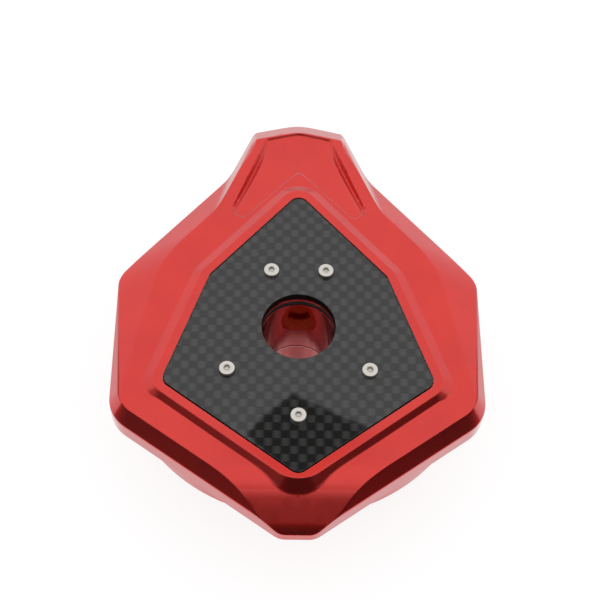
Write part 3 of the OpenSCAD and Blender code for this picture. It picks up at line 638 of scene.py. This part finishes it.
def nose_wall_runs(normals):
    """Runs of outline points on the two flat walls of the nose, right one first."""
    n = right_of(unit((NOSE[0] - SHOULDER[0], NOSE[1] - SHOULDER[1])))
    runs = []
    for side in (1, -1):
        flat = normals @ np.array([side * n[0], n[1]]) > 1 - 1e-9
        runs.append([i for i in range(len(normals)) if flat[i]])
    return runs


def pin_tunnel(wall_x):
    """Rings of the bush seat and pin hole in one cheek; wall_x gives the outer wall's x at a y."""
    seat = hinge_ring(BUSH_HOLE_R)
    hole = hinge_ring(PIN_HOLE_R)
    inner = [(NOSE_HOLLOW_X, *p) for p in seat]
    shoulder = [(BUSH_END_X, *p) for p in seat]
    step = [(BUSH_END_X, *p) for p in hole]
    outer = [(wall_x(p[0]), *p) for p in hole]
    return [inner, shoulder, step, outer]


def lid_body():
    shell = Shell()
    outline, normals, _ = trace(mirrored([TIP, LOW, UP, SHOULDER, NOSE, NOSE_END]), gap=1.5, bend=6)
    top_loop = outline - normals * TOP_EDGE
    insert, insert_normals, _ = trace(mirrored(INSERT), gap=1.5, bend=8)
    recess = insert + insert_normals * INSERT_GAP
    lid_top(shell, top_loop, recess + insert_normals * RECESS_EDGE)
    bottom_loop = lid_wall(shell, outline, normals, top_loop)
    lid_recess(shell, recess, insert_normals)
    lid_bore(shell)
    lid_underside(shell, bottom_loop)
    return shell


def lid_top(shell, top_loop, recess_top):
    """Top surface between the rolled outer edge and the recess."""
    rim, rim_normals, _ = trace(mirrored(RIM), gap=0.9, bend=6)
    edge, edge_normals, _ = trace(mirrored(POCKET_TRACE), gap=0.8, bend=10)
    guides = [rim + rim_normals * d for d in RIM_ROWS]
    guides += [edge - edge_normals * d for d in POCKET_ROWS]
    drape(shell, [top_loop, recess_top], guides, lid_height)


def lid_wall(shell, outline, normals, top_loop):
    """Outer wall, from the rolled top edge to the bottom edge; gives back the loop that it ends in."""
    heights = lid_height(top_loop)
    slopes = surface_normals(top_loop, lid_height)
    columns = []
    for p, n, z, s in zip(outline, normals, heights, slopes):
        fall = (s[0] * n[0] + s[1] * n[1]) / s[2]
        columns.append(rolled_edge(p, n, z, fall, TOP_EDGE) + bottom_edge(p, n, SKIRT_Z, BOTTOM_EDGE))
    runs = nose_wall_runs(normals)
    shell.strip(columns, left_out={(i, EDGE_ROWS) for run in runs for i in run[:-1]})
    nose_walls(shell, columns, runs, EDGE_ROWS)
    return np.array([m[-1][0][:2] for m in columns])


def lid_recess(shell, recess, insert_normals):
    """Recess for the insert, with the lock bore in its floor."""
    walls = []
    for p, n in zip(recess, insert_normals):
        walls.append(rolled_edge(p, -n, TOP_Z, 0.0, RECESS_EDGE) + [upright(p, -n, SEAT_Z)])
    shell.strip(walls)
    shell.patch([recess, ring(LOCK_R)], lambda p: (p[0], p[1], SEAT_Z), ABOVE)


def lid_bore(shell):
    """Lock bore with the O-ring's groove, then the boss round it and the hollow under the lid."""
    hub_middle = (HUB_HOLE_R, (SHELF_Z + BOSS_Z) / 2)
    bore = [(LOCK_R, SEAT_Z), (LOCK_R, GROOVE_HIGH, GROOVE_EDGE), (GROOVE_R, GROOVE_HIGH, GROOVE_FILLET),
            (GROOVE_R, GROOVE_LOW, GROOVE_FILLET), (LOCK_R, GROOVE_LOW, GROOVE_EDGE),
            (LOCK_R, SHELF_Z, LOCK_FILLET), (HUB_HOLE_R, SHELF_Z, HUB_EDGE), hub_middle]
    hollow = [hub_middle, (HUB_HOLE_R, BOSS_Z, HUB_EDGE), (BOSS_R, BOSS_Z, BOSS_EDGE),
              (BOSS_R, ROOF_Z, BOSS_FILLET), (HOLLOW_R, ROOF_Z, HOLLOW_FILLET), (HOLLOW_R, SKIRT_Z)]
    shell.finish = 1
    shell.lathe(trace(bore, closed=False, bend=LATHE_BEND))
    shell.finish = 0
    shell.lathe(trace(hollow, closed=False, bend=LATHE_BEND))


def lid_underside(shell, bottom_loop):
    """Level underside of the skirt, and the hollow in the nose."""
    front_y = NOSE_HOLLOW[0][0]
    back_y = NOSE_HOLLOW[-1][0]
    room = np.array([(NOSE_HOLLOW_X, front_y), (NOSE_HOLLOW_X, back_y),
                     (-NOSE_HOLLOW_X, back_y), (-NOSE_HOLLOW_X, front_y)])
    shell.patch([bottom_loop, ring(HOLLOW_R), room], lambda p: (p[0], p[1], SKIRT_Z), BELOW)
    hollow_walls(shell)


def nose_walls(shell, columns, runs, row):
    """Flat outer walls of the nose with the pin holes, and the tunnels through the cheeks."""
    for side, run in zip((1, -1), runs):
        top = [columns[i][row][0] for i in run]
        low = [columns[i][row + 1][0] for i in run]
        a, b = top[0], top[-1]

        def wall_x(y, a=a, b=b):
            return a[0] + (b[0] - a[0]) * (y - a[1]) / (b[1] - a[1])

        loop = np.array([p[1:] for p in top] + [p[1:] for p in reversed(low)])
        outward = columns[run[0]][row][1]
        shell.patch([loop, hinge_ring(PIN_HOLE_R)], lambda p: (wall_x(p[0]), p[0], p[1]), outward)
        tunnel = pin_tunnel(lambda y: side * wall_x(y))
        for low_ring, high_ring in zip(tunnel, tunnel[1:]):
            is_step = low_ring[0][0] == high_ring[0][0]
            for i in range(HOLE_STEPS):
                j = (i + 1) % HOLE_STEPS
                quad = [low_ring[i], low_ring[j], high_ring[j], high_ring[i]]
                if is_step:
                    facing = [np.array([-side, 0.0, 0.0])] * 4
                else:
                    facing = [np.array([0.0, HINGE_Y - q[1], HINGE_Z - q[2]]) for q in quad]
                shell.face([(side * q[0], q[1], q[2]) for q in quad], facing)


def hollow_walls(shell):
    """Walls of the hollow in the nose, with the bush holes in its cheeks."""
    points, before, after = trace(NOSE_HOLLOW, closed=False)
    columns = []
    for x in (NOSE_HOLLOW_X, -NOSE_HOLLOW_X):
        columns.append([((x, *p), np.array([0.0, *m]), np.array([0.0, *n]))
                        for p, m, n in zip(points, before, after)])
    shell.strip(columns, closed=False)
    for side in (1, -1):
        x = side * NOSE_HOLLOW_X
        facing = np.array([-side, 0.0, 0.0])
        shell.patch([points, hinge_ring(BUSH_HOLE_R)], lambda p: (x, p[0], p[1]), facing)


def plate(shell, outer, holes, z0, z1, edge):
    """A flat plate with broken edges; outer runs counter-clockwise and holes clockwise."""
    tops, lows = [], []
    for points, normals, _ in [outer] + holes:
        columns = []
        for p, n in zip(points, normals):
            columns.append(rolled_edge(p, n, z1, 0.0, edge) + bottom_edge(p, n, z0, edge, 2))
        shell.strip(columns)
        tops.append(np.array([c[0][0][:2] for c in columns]))
        lows.append(np.array([c[-1][0][:2] for c in columns]))
    shell.patch(tops, lambda p: (p[0], p[1], z1), ABOVE)
    shell.patch(lows, lambda p: (p[0], p[1], z0), BELOW)


def round_hole(r, centre=(0.0, 0.0), steps=ROUND_STEPS):
    """Clockwise circle with normals towards its centre."""
    points = ring(r, centre, steps)[::-1]
    normals = (np.array(centre) - points) / r
    return points, normals, normals


def carbon_insert():
    shell = Shell()
    holes = [round_hole(LOCK_R)]
    holes += [round_hole(INSERT_SCREW_HOLE_R, p, HOLE_STEPS) for p in INSERT_SCREWS]
    plate(shell, trace(mirrored(INSERT), gap=4.0, bend=8), holes, SEAT_Z, TOP_Z, INSERT_EDGE)
    return shell


def cap_screw(shell, place, z, flip, length, thread_r, head_r, head_h, socket_w):
    """Low round screw head with a hexagon socket, standing on height z; flip -1 turns it upside down."""
    socket_r = socket_w / math.sqrt(3)
    profile = [(THREAD_AXIS_R, -length), (thread_r - THREAD_END, -length), (thread_r, THREAD_END - length),
               (thread_r, 0.0), (head_r, 0.0, HEAD_FOOT), (head_r, head_h - HEAD_CROWN, HEAD_EDGE),
               (socket_r * SOCKET_MOUTH, head_h, SOCKET_LIP),
               (socket_r * SOCKET_RING, head_h - SOCKET_SINK)]
    points, before, after = trace(profile, closed=False, bend=15)
    shell.lathe((points, before, after), place, flip, z, HEAD_STEPS)
    hexagon = ring(socket_r, place, 6)
    sunk = z + flip * (head_h - SOCKET_SINK)
    floor = z + flip * head_h * SOCKET_FLOOR
    up = flip * ABOVE
    shell.patch([ring(points[-1][0], place, HEAD_STEPS), hexagon], lambda p: (p[0], p[1], sunk), up)
    drill = (place[0], place[1], floor - flip * SOCKET_DRILL)
    for a, b in zip(hexagon, np.roll(hexagon, -1, 0)):
        middle = np.append((a + b) / 2 - np.array(place), 0.0)
        shell.face([(*a, sunk), (*b, sunk), (*b, floor), (*a, floor)], [-middle] * 4)
        shell.face([(*a, floor), (*b, floor), drill], [up - SOCKET_LEAN * middle] * 3)


def screw_circle(r):
    """Places of evenly spaced screws on a circle."""
    turns = [math.radians(SCREW_START + 360 * i / SCREW_COUNT) for i in range(SCREW_COUNT)]
    return [(r * math.cos(a), r * math.sin(a)) for a in turns]


def screw_group(places, z, flip, length, size):
    shell = Shell()
    for place in places:
        cap_screw(shell, place, z, flip, length, **size)
    return shell


def tube(shell, path, r, sides=14, slant=(0.3, 0.5, 0.8)):
    """Round wire along a path, with rounded ends; slant is any way that the path doesn't start in."""
    path = np.asarray(path, float)
    ways = np.gradient(path, axis=0)
    ways /= np.linalg.norm(ways, axis=1)[:, None]
    u = unit(np.cross(ways[0], slant))
    columns = [[] for _ in range(sides)]
    bends = [math.pi / 2 * k / WIRE_CAP_ROWS for k in range(WIRE_CAP_ROWS)]
    rows = [(0, -r * math.cos(a), r * math.sin(a), -math.cos(a)) for a in bends]
    rows.extend((i, 0.0, r, 0.0) for i in range(len(path)))
    rows.extend((len(path) - 1, r * math.cos(a), r * math.sin(a), math.cos(a)) for a in reversed(bends))
    for i, along, wide, lean in rows:
        d = ways[i]
        u = unit(u - d * (u @ d))
        w = np.cross(d, u)
        for k in range(sides):
            a = 2 * math.pi * k / sides
            out = u * math.cos(a) + w * math.sin(a)
            n = out * math.sqrt(max(0.0, 1 - lean * lean)) + d * lean
            columns[k].append((path[i] + d * along + out * wide, n, n))
    shell.strip(columns)


def hinge_spring():
    """Torsion spring round the pin, with one leg on the base's arm and one under the lid."""
    legs = [k / LEG_STEPS for k in range(LEG_STEPS + 1)]
    path = [(HINGE_COIL_HALF, HINGE_Y - HINGE_LEG * (1 - t), HINGE_Z - HINGE_COIL_R) for t in legs[:-1]]
    total = int(HINGE_TURNS * COIL_STEPS)
    for i in range(total + 1):
        a = math.radians(-90 + 360 * HINGE_TURNS * i / total)
        x = HINGE_COIL_HALF * (1 - 2 * i / total)
        path.append((x, HINGE_Y + HINGE_COIL_R * math.cos(a), HINGE_Z + HINGE_COIL_R * math.sin(a)))
    for t in legs[1:]:
        z = HINGE_Z + HINGE_COIL_R + HINGE_LEG_RISE * t
        path.append((-HINGE_COIL_HALF, HINGE_Y - HINGE_LEG * t, z))
    shell = Shell()
    tube(shell, path, HINGE_WIRE_R)
    return shell


def vent_spring():
    """Compression spring under the vent's ball."""
    total = int(VENT_TURNS * COIL_STEPS)
    path = []
    for i in range(total + 1):
        a = 2 * math.pi * VENT_TURNS * i / total
        z = VENT_SPRING_LOW + (VENT_SPRING_HIGH - VENT_SPRING_LOW) * i / total
        path.append((VENT_COIL_R * math.cos(a), VENT_COIL_R * math.sin(a) - VENT_OFFSET, z))
    shell = Shell()
    tube(shell, path, VENT_WIRE_R)
    return shell


# Finishes

class Finish:
    """A material's node tree round one shader, with short ways to add nodes."""

    def __init__(self, name, shader="BsdfPrincipled", **values):
        self.material = bpy.data.materials.new(name)
        self.material.use_nodes = True
        self.tree = self.material.node_tree
        self.tree.nodes.clear()
        output = self.tree.nodes.new("ShaderNodeOutputMaterial")
        self.shader = self.add(shader)
        self.tree.links.new(self.shader.outputs[0], output.inputs[0])
        self.place = self.add("TexCoord").outputs["Object"]
        self.set(**values)

    def set(self, **values):
        """Sets or links the shader's inputs; an underscore in a name stands for a space."""
        for name, value in values.items():
            self.feed(self.shader.inputs[name.replace("_", " ")], value)

    def feed(self, socket, value):
        if isinstance(value, bpy.types.NodeSocket):
            self.tree.links.new(value, socket)
        else:
            socket.default_value = value

    def add(self, kind, inputs=None, **settings):
        node = self.tree.nodes.new("ShaderNode" + kind)
        for name, value in settings.items():
            setattr(node, name, value)
        for name, value in (inputs or {}).items():
            self.feed(node.inputs[name], value)
        return node

    def math(self, operation, a, b=0.0):
        return self.add("Math", {0: a, 1: b}, operation=operation).outputs[0]

    def spread(self, value, span, to=(0.0, 1.0)):
        """Maps the values of a span onto another one, and holds them at its ends."""
        return self.add("MapRange", {"Value": value, "From Min": span[0], "From Max": span[1],
                                     "To Min": to[0], "To Max": to[1]}).outputs[0]

    def mix(self, factor, a, b):
        return self.add("Mix", {0: factor, 6: a, 7: b}, data_type="RGBA").outputs[2]

    def axes(self, vector=None):
        return self.add("SeparateXYZ", {0: vector or self.place}).outputs

    def stretch(self, x, y, z):
        """Object coordinates scaled along each axis."""
        return self.add("Mapping", {"Vector": self.place, "Scale": (x, y, z)}).outputs[0]

    def noise(self, per_mm, detail=2.0, vector=None):
        return self.add("TexNoise", {"Vector": vector or self.place, "Scale": per_mm / MM,
                                     "Detail": detail}).outputs[0]

    def edges(self, radius, low=0.02, high=0.2):
        """Rounded normal, and how near a point lies to an edge, from 0 to 1."""
        rounded = self.add("Bevel", {"Radius": radius * MM}, samples=4).outputs[0]
        normal = self.add("NewGeometry").outputs["Normal"]
        same = self.add("VectorMath", {0: rounded, 1: normal}, operation="DOT_PRODUCT").outputs["Value"]
        return rounded, self.spread(same, (1 - low, 1 - high))

    def edge_blend(self, colour, edge, share, bare):
        """Colour that goes over to another one along edges, by a share."""
        return self.mix(self.math("MULTIPLY", edge, share), colour, bare)

    def bump(self, height, depth, normal=None):
        node = self.add("Bump", {"Height": height, "Distance": depth * MM, "Strength": 1.0})
        if normal is not None:
            self.feed(node.inputs["Normal"], normal)
        return node.outputs[0]


RED_METAL = {"Metallic": 1.0, "Coat_Weight": 1.0, "Coat_IOR": 1.61, "Specular_Tint": (0.55, 0.12, 0.11, 1)}


def red_dye(f):
    """Colour, roughness and normal of machined metal dyed red, paler along its edges by a painted highlight
    where they catch light, and by wear.
    """
    deep_red = (0.64, 0.006, 0.0005, 1)
    clear_red = (0.71, 0.011, 0.001, 1)
    edge_highlight_and_wear_red = (0.85, 0.15, 0.1, 1)
    soft, edge = f.edges(radius=0.2)
    clouds = f.noise(per_mm=0.08, detail=3.0)
    grain = f.noise(per_mm=6.0, detail=2.0)
    lines = f.noise(per_mm=1.0, detail=2.0, vector=f.stretch(0.05, 3.0, 3.0))
    dye = f.mix(f.spread(clouds, (0.3, 0.7)), deep_red, clear_red)
    # Painted highlight and wear: the red goes paler along edges.
    colour = f.edge_blend(dye, edge, share=0.4, bare=edge_highlight_and_wear_red)
    rough = f.spread(grain, (0.25, 0.75), (0.25, 0.33))
    height = f.math("ADD", f.math("MULTIPLY", grain, 0.6), f.math("MULTIPLY", lines, 0.4))
    return colour, rough, f.bump(height, depth=0.002, normal=soft)


def red_anodised():
    """Satin red dye under a clear seal."""
    f = Finish("red_anodised", Coat_Roughness=0.12, Sheen_Weight=1.0, Sheen_Roughness=0.3, **RED_METAL)
    colour, rough, normal = red_dye(f)
    f.set(Base_Color=colour, Roughness=rough, Normal=normal)
    return f.material


def red_bore():
    """Red of the lock bore, darkened by painted shade and smoother, whose turned floor is bare."""
    painted_bore_shade = (0.1, 0.004, 0.002, 1)
    bare_metal = (0.9, 0.87, 0.86, 1)
    bore_shade_share = 0.4
    smoother = 0.14
    floor_top = SHELF_Z + 0.01
    f = Finish("red_bore", Coat_Roughness=0.06, **RED_METAL)
    colour, rough, normal = red_dye(f)
    on_floor = f.math("LESS_THAN", f.axes()[2], floor_top * MM)
    # Painted shade: the bore's red is mixed towards dark red, as the shade inside it.
    f.set(Base_Color=f.mix(on_floor, f.mix(bore_shade_share, colour, painted_bore_shade), bare_metal),
          Roughness=f.math("SUBTRACT", rough, smoother), Normal=normal)
    return f.material


def black_anodised():
    """Satin black dye, greyer along its edges."""
    black = (0.012, 0.012, 0.014, 1)
    soft_black = (0.024, 0.024, 0.027, 1)
    grey = (0.16, 0.16, 0.165, 1)
    f = Finish("black_anodised", Metallic=0.0, IOR=1.6, Coat_Weight=0.3, Coat_Roughness=0.3)
    soft, edge = f.edges(radius=0.3)
    grain = f.noise(per_mm=5.0, detail=2.0)
    clouds = f.noise(per_mm=0.1, detail=3.0)
    colour = f.edge_blend(f.mix(clouds, black, soft_black), edge, share=0.4, bare=grey)
    f.set(Base_Color=colour, Roughness=f.spread(grain, (0.25, 0.75), (0.38, 0.52)),
          Normal=f.bump(grain, depth=0.006, normal=soft))
    return f.material


def carbon():
    """Plain weave under clear resin, matt on the cut edges."""
    tow = 2.5
    seam = 0.22
    dark_tow = ((0.002, 0.002, 0.002, 1), (0.016, 0.0155, 0.015, 1))
    light_tow = ((0.02, 0.0193, 0.0189, 1), (0.053, 0.051, 0.0496, 1))
    between_tows = (0.008, 0.008, 0.008, 1)
    cut_edge = (0.004, 0.004, 0.004, 1)
    f = Finish("carbon", Metallic=0.0, IOR=1.5, Specular_IOR_Level=0.05, Coat_IOR=1.56, Coat_Roughness=0.03)
    axes = f.axes()
    waves = [f.math("SINE", f.math("MULTIPLY", axis, math.pi / (tow * MM))) for axis in (axes[0], axes[1])]
    over = f.add("MapRange", {"Value": f.math("MULTIPLY", *waves), "From Min": -seam, "From Max": seam},
                 interpolation_type="SMOOTHSTEP").outputs[0]
    across = [f.math("ABSOLUTE", wave) for wave in waves]
    warp = f.noise(per_mm=1.0, detail=3.0, vector=f.stretch(12.0, 0.35, 1.0))
    weft = f.noise(per_mm=1.0, detail=3.0, vector=f.stretch(0.35, 12.0, 1.0))
    crown = f.add("Mix", {0: over, 2: across[1], 3: across[0]}).outputs[0]
    fibre = f.add("Mix", {0: over, 2: weft, 3: warp}).outputs[0]
    tows = f.mix(over, f.mix(fibre, *dark_tow), f.mix(fibre, *light_tow))
    shade = f.mix(f.math("POWER", crown, 0.5), between_tows, tows)
    height = f.math("ADD", f.math("MULTIPLY", crown, 0.8), f.math("MULTIPLY", fibre, 0.2))
    facing = f.axes(f.add("TexCoord").outputs["Normal"])[2]
    level = f.spread(f.math("ABSOLUTE", facing), (0.2, 0.6))
    f.set(Base_Color=f.mix(level, cut_edge, shade), Coat_Weight=level,
          Roughness=f.spread(fibre, (0.3, 0.7), (0.35, 0.5)), Normal=f.bump(height, depth=0.03))
    return f.material


def stainless():
    """Brushed steel, brighter along its edges, and darker in its corners and recesses by painted shade from
    ambient occlusion.
    """
    grey_steel = (0.62, 0.59, 0.54, 1)
    pale_steel = (0.74, 0.71, 0.66, 1)
    bright_steel = (0.86, 0.85, 0.83, 1)
    painted_recess_shade = (0.06, 0.055, 0.05, 1)
    recess_shade_reach = 0.9
    f = Finish("stainless", Metallic=1.0)
    soft, edge = f.edges(radius=0.1)
    grain = f.noise(per_mm=8.0, detail=2.0)
    brushed = f.noise(per_mm=1.0, detail=2.0, vector=f.stretch(0.4, 9.0, 9.0))
    bright = f.edge_blend(f.mix(grain, grey_steel, pale_steel), edge, share=0.5, bare=bright_steel)
    # Painted shade: ambient occlusion darkens the steel in corners, sockets and recesses.
    open_air = f.add("AmbientOcclusion", {"Distance": recess_shade_reach * MM}, samples=8).outputs["AO"]
    f.set(Base_Color=f.mix(f.spread(open_air, (0.35, 0.8)), painted_recess_shade, bright),
          Roughness=f.spread(brushed, (0.3, 0.7), (0.3, 0.42)),
          Normal=f.bump(brushed, depth=0.002, normal=soft))
    return f.material


def spring_steel():
    """Drawn wire."""
    dark_wire = (0.30, 0.295, 0.29, 1)
    light_wire = (0.48, 0.47, 0.46, 1)
    f = Finish("spring_steel", Metallic=1.0)
    drawn = f.noise(per_mm=3.0, detail=3.0)
    f.set(Base_Color=f.mix(drawn, dark_wire, light_wire),
          Roughness=f.spread(drawn, (0.3, 0.7), (0.26, 0.42)), Normal=f.bump(drawn, depth=0.004))
    return f.material


def bronze():
    """Turned bronze, brighter along its edges."""
    brown = (0.50, 0.30, 0.11, 1)
    golden = (0.66, 0.44, 0.19, 1)
    bright_gold = (0.80, 0.60, 0.32, 1)
    f = Finish("bronze", Metallic=1.0)
    soft, edge = f.edges(radius=0.15)
    marks = f.noise(per_mm=1.0, detail=2.0, vector=f.stretch(6.0, 0.6, 6.0))
    clouds = f.noise(per_mm=0.4, detail=3.0)
    f.set(Base_Color=f.edge_blend(f.mix(clouds, brown, golden), edge, share=0.5, bare=bright_gold),
          Roughness=f.spread(marks, (0.3, 0.7), (0.24, 0.40)),
          Normal=f.bump(marks, depth=0.004, normal=soft))
    return f.material


def rubber():
    """Matt black rubber with a faint bloom, greyer along its edges."""
    black = (0.010, 0.010, 0.011, 1)
    bloomed = (0.022, 0.022, 0.023, 1)
    rubbed = (0.05, 0.05, 0.05, 1)
    f = Finish("rubber", Metallic=0.0, IOR=1.5)
    soft, edge = f.edges(radius=0.2)
    grain = f.noise(per_mm=4.0, detail=3.0)
    bloom = f.noise(per_mm=0.25, detail=3.0)
    f.set(Base_Color=f.edge_blend(f.mix(bloom, black, bloomed), edge, share=0.4, bare=rubbed),
          Roughness=f.spread(grain, (0.3, 0.7), (0.5, 0.7)), Normal=f.bump(grain, depth=0.01, normal=soft))
    return f.material


FINISHES = {make.__name__: make() for make in (red_anodised, red_bore, black_anodised, carbon, stainless,
                                               spring_steel, bronze, rubber)}

for entry in frame["record"]["subparts"]:
    node = frame["nodes"][entry["node"]]
    node.data.materials.clear()
    node.data.materials.append(FINISHES[entry["material_slot"]])


# Pieces

def metres(x, y, z):
    return x * MM, y * MM, z * MM


def drawn_flange():
    """The base with its round wall drawn in a little, so that its top edge stays under the lid."""
    mesh = frame["nodes"]["base_flange"].data.copy()
    mesh.name = "base_ring"
    for v in mesh.vertices:
        r = math.hypot(v.co.x, v.co.y)
        if DRAWN_R * MM < r < (FLANGE_R + FLANGE_MARGIN) * MM:
            share = min(1, max(0, (DRAWN_END_Y - v.co.y / MM) / DRAWN_FADE))
            k = 1 - share * (FLANGE_R - DRAWN_R) * MM / r
            v.co = (v.co.x * k, v.co.y * k, v.co.z)
    piece = bpy.data.objects.new("base_ring", mesh)
    bpy.context.scene.collection.objects.link(piece)
    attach(piece, "base")
    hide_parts("base_flange")


lid_body().build("lid_shell", "red_anodised", "lid", ["lid_body"], inner="red_bore")
carbon_insert().build("insert_plate", "carbon", "lid", ["carbon_insert"])

heads = screw_group(INSERT_SCREWS, TOP_Z, 1, INSERT_SCREW_L, SMALL_SCREW)
heads.build("insert_cap_screws", "stainless", "lid", ["insert_screws"])

heads = screw_group(screw_circle(PLUG_SCREW_CIRCLE_R), PLUG_SCREW_Z, -1, PLUG_SCREW_L, PLUG_SCREW)
heads.build("plug_cap_screws", "stainless", "lid", ["plug_screws"])

heads = screw_group(screw_circle(COVER_SCREW_CIRCLE_R), COVER_SCREW_Z, -1, COVER_SCREW_L, SMALL_SCREW)
heads.build("cover_cap_screws", "stainless", "lid", ["cover_screws"])

ends = [metres(side * HINGE_COIL_HALF, HINGE_Y, HINGE_Z) for side in (1, -1)]
hinge_spring().build("hinge_coil", "spring_steel", None, ["hinge_spring"], ("base", "lid", *ends))

ends = [metres(0.0, -VENT_OFFSET, z) for z in (VENT_SPRING_LOW, VENT_SPRING_HIGH)]
vent_spring().build("vent_coil", "spring_steel", None, ["vent_spring"], ("lid", "vent", *ends))

drawn_flange()


# Stage, in metres

FLOOR_Z = -30.1 * MM
FLOOR_HALF = 4.0

# Paper: the grey that is lit, its own glow, and how much more of it cameras and reflections see
PAPER_GREY = 0.25
PAPER_GLOW = 0.55
PAPER_SEEN = 0.25

# Upright cards: azimuths of both ends, distance, lowest and highest point, and the (height, level) from
# and to which they are graded; azimuth 0 lies in front, towards the tip, and 90 on the right
CARDS = {
    "left_flag": ((-80, -24), 0.2, (FLOOR_Z, 0.175), (0.05, 0.07), (0.12, 0.6)),
    "right_flag": ((24, 80), 0.2, (FLOOR_Z, 0.175), (0.05, 0.03), (0.12, 0.5)),
    "left_low_flag": ((-116, -86), 0.3, (FLOOR_Z, 0.075), (0.03, 0.04), (0.075, 0.1)),
    "right_low_flag": ((86, 116), 0.3, (FLOOR_Z, 0.075), (0.03, 0.04), (0.075, 0.1)),
    "front_low_flag": ((-24, 24), 0.2, (FLOOR_Z, 0.175), (0.06, 0.05), (0.14, 0.07)),
    "front_flag": ((-40, 40), 0.45, (0.28, 0.7), (0.34, 0.07), (0.62, 0.6)),
    "front_top_flag": ((-50, 50), 0.5, (0.76, 1.6), (0.76, 0.62), (1.5, 1.0)),
}

# Level card overhead, with its corners in millimetres
CEILING = [(17, 492), (-16, 464), (-32, 442), (-14, 422), (23, 390), (60, 418), (98, 452), (60, 470)]
CEILING_Z = 1.0
CEILING_LEVEL = 0.03


def flat_mesh(name, corners, finish):
    mesh = bpy.data.meshes.new(name)
    mesh.from_pydata([Vector(c) for c in corners], [], [tuple(range(len(corners)))])
    mesh.materials.append(finish)
    piece = bpy.data.objects.new(name, mesh)
    bpy.context.scene.collection.objects.link(piece)
    return piece


def floor_finish():
    """White paper: part of its white is its own for what sees it, the rest is lit and shaded."""
    f = Finish("floor_paper", "AddShader")
    path = f.add("LightPath").outputs
    seen = f.math("MAXIMUM", path["Is Camera Ray"], path["Is Glossy Ray"])
    seen = f.math("MAXIMUM", seen, path["Is Transmission Ray"])
    level = f.add("Math", {0: seen, 1: PAPER_SEEN, 2: PAPER_GLOW}, operation="MULTIPLY_ADD").outputs[0]
    grey = (PAPER_GREY, PAPER_GREY, PAPER_GREY, 1)
    f.feed(f.shader.inputs[0], f.add("BsdfDiffuse", {"Color": grey}).outputs[0])
    f.feed(f.shader.inputs[1], f.add("Emission", {"Strength": level}).outputs[0])
    return f.material


def flag_finish(name, low, high):
    """Dim card, graded with height: low and high are (height, level)."""
    f = Finish(name, "Emission")
    f.set(Strength=f.spread(f.axes()[2], (low[0], high[0]), (low[1], high[1])))
    f.material.cycles.emission_sampling = "NONE"
    return f.material


def flag(name, corners, low, high):
    """A dim card of the studio that only shows in reflections."""
    piece = flat_mesh(name, corners, flag_finish(name, low, high))
    for ray in ("camera", "diffuse", "transmission", "volume_scatter", "shadow"):
        setattr(piece, "visible_" + ray, False)


def standing(azimuths, r, low, high):
    """Corners of an upright card."""
    ends = [(r * math.sin(math.radians(a)), -r * math.cos(math.radians(a))) for a in azimuths]
    return [(*ends[0], low), (*ends[1], low), (*ends[1], high), (*ends[0], high)]


flat_mesh("floor", [(-FLOOR_HALF, -FLOOR_HALF, FLOOR_Z), (FLOOR_HALF, -FLOOR_HALF, FLOOR_Z),
                    (FLOOR_HALF, FLOOR_HALF, FLOOR_Z), (-FLOOR_HALF, FLOOR_HALF, FLOOR_Z)], floor_finish())
for name, (azimuths, distance, (low, high), dim, bright) in CARDS.items():
    flag(name, standing(azimuths, distance, low, high), dim, bright)
flag("ceiling_flag", [(x * MM, y * MM, CEILING_Z) for x, y in CEILING], (0.0, CEILING_LEVEL),
     (CEILING_Z, CEILING_LEVEL))

scene = bpy.context.scene
scene.view_settings.view_transform = "Standard"

world = bpy.data.worlds.new("studio")
world.use_nodes = True
world.node_tree.nodes["Background"].inputs["Color"].default_value = (1, 1, 1, 1)
world.node_tree.nodes["Background"].inputs["Strength"].default_value = 1.0
scene.world = world


# Camera at the photograph's angle: its place in millimetres, and its turns in degrees

CAMERA_PLACE = (-8.56, -213.99, 382.0)
CAMERA_RISE = 58.5
CAMERA_YAW = -2.3
CAMERA_ROLL = 2.796
CAMERA_LENS = 83.95
CAMERA_SENSOR = 36.0


def camera_pose():
    rise, yaw, roll = (math.radians(a) for a in (CAMERA_RISE, CAMERA_YAW, CAMERA_ROLL))
    side = Vector((1, 0, 0))
    up = Vector((0, math.sin(rise), math.cos(rise)))
    ahead = Vector((0, math.cos(rise), -math.sin(rise)))
    right = side * math.cos(roll) + up * math.sin(roll)
    top = up * math.cos(roll) - side * math.sin(roll)
    turn = Matrix.Rotation(yaw, 3, "Z")
    axes = Matrix((turn @ right, turn @ top, turn @ -ahead)).transposed()
    return Matrix.Translation(Vector(CAMERA_PLACE) * MM) @ axes.to_4x4()


camera = bpy.data.cameras.new("camera")
camera.lens = CAMERA_LENS
camera.sensor_width = CAMERA_SENSOR
camera.clip_start = 0.01
camera.clip_end = 20.0
viewer = bpy.data.objects.new("camera", camera)
viewer.matrix_world = camera_pose()
scene.collection.objects.link(viewer)
scene.camera = viewer
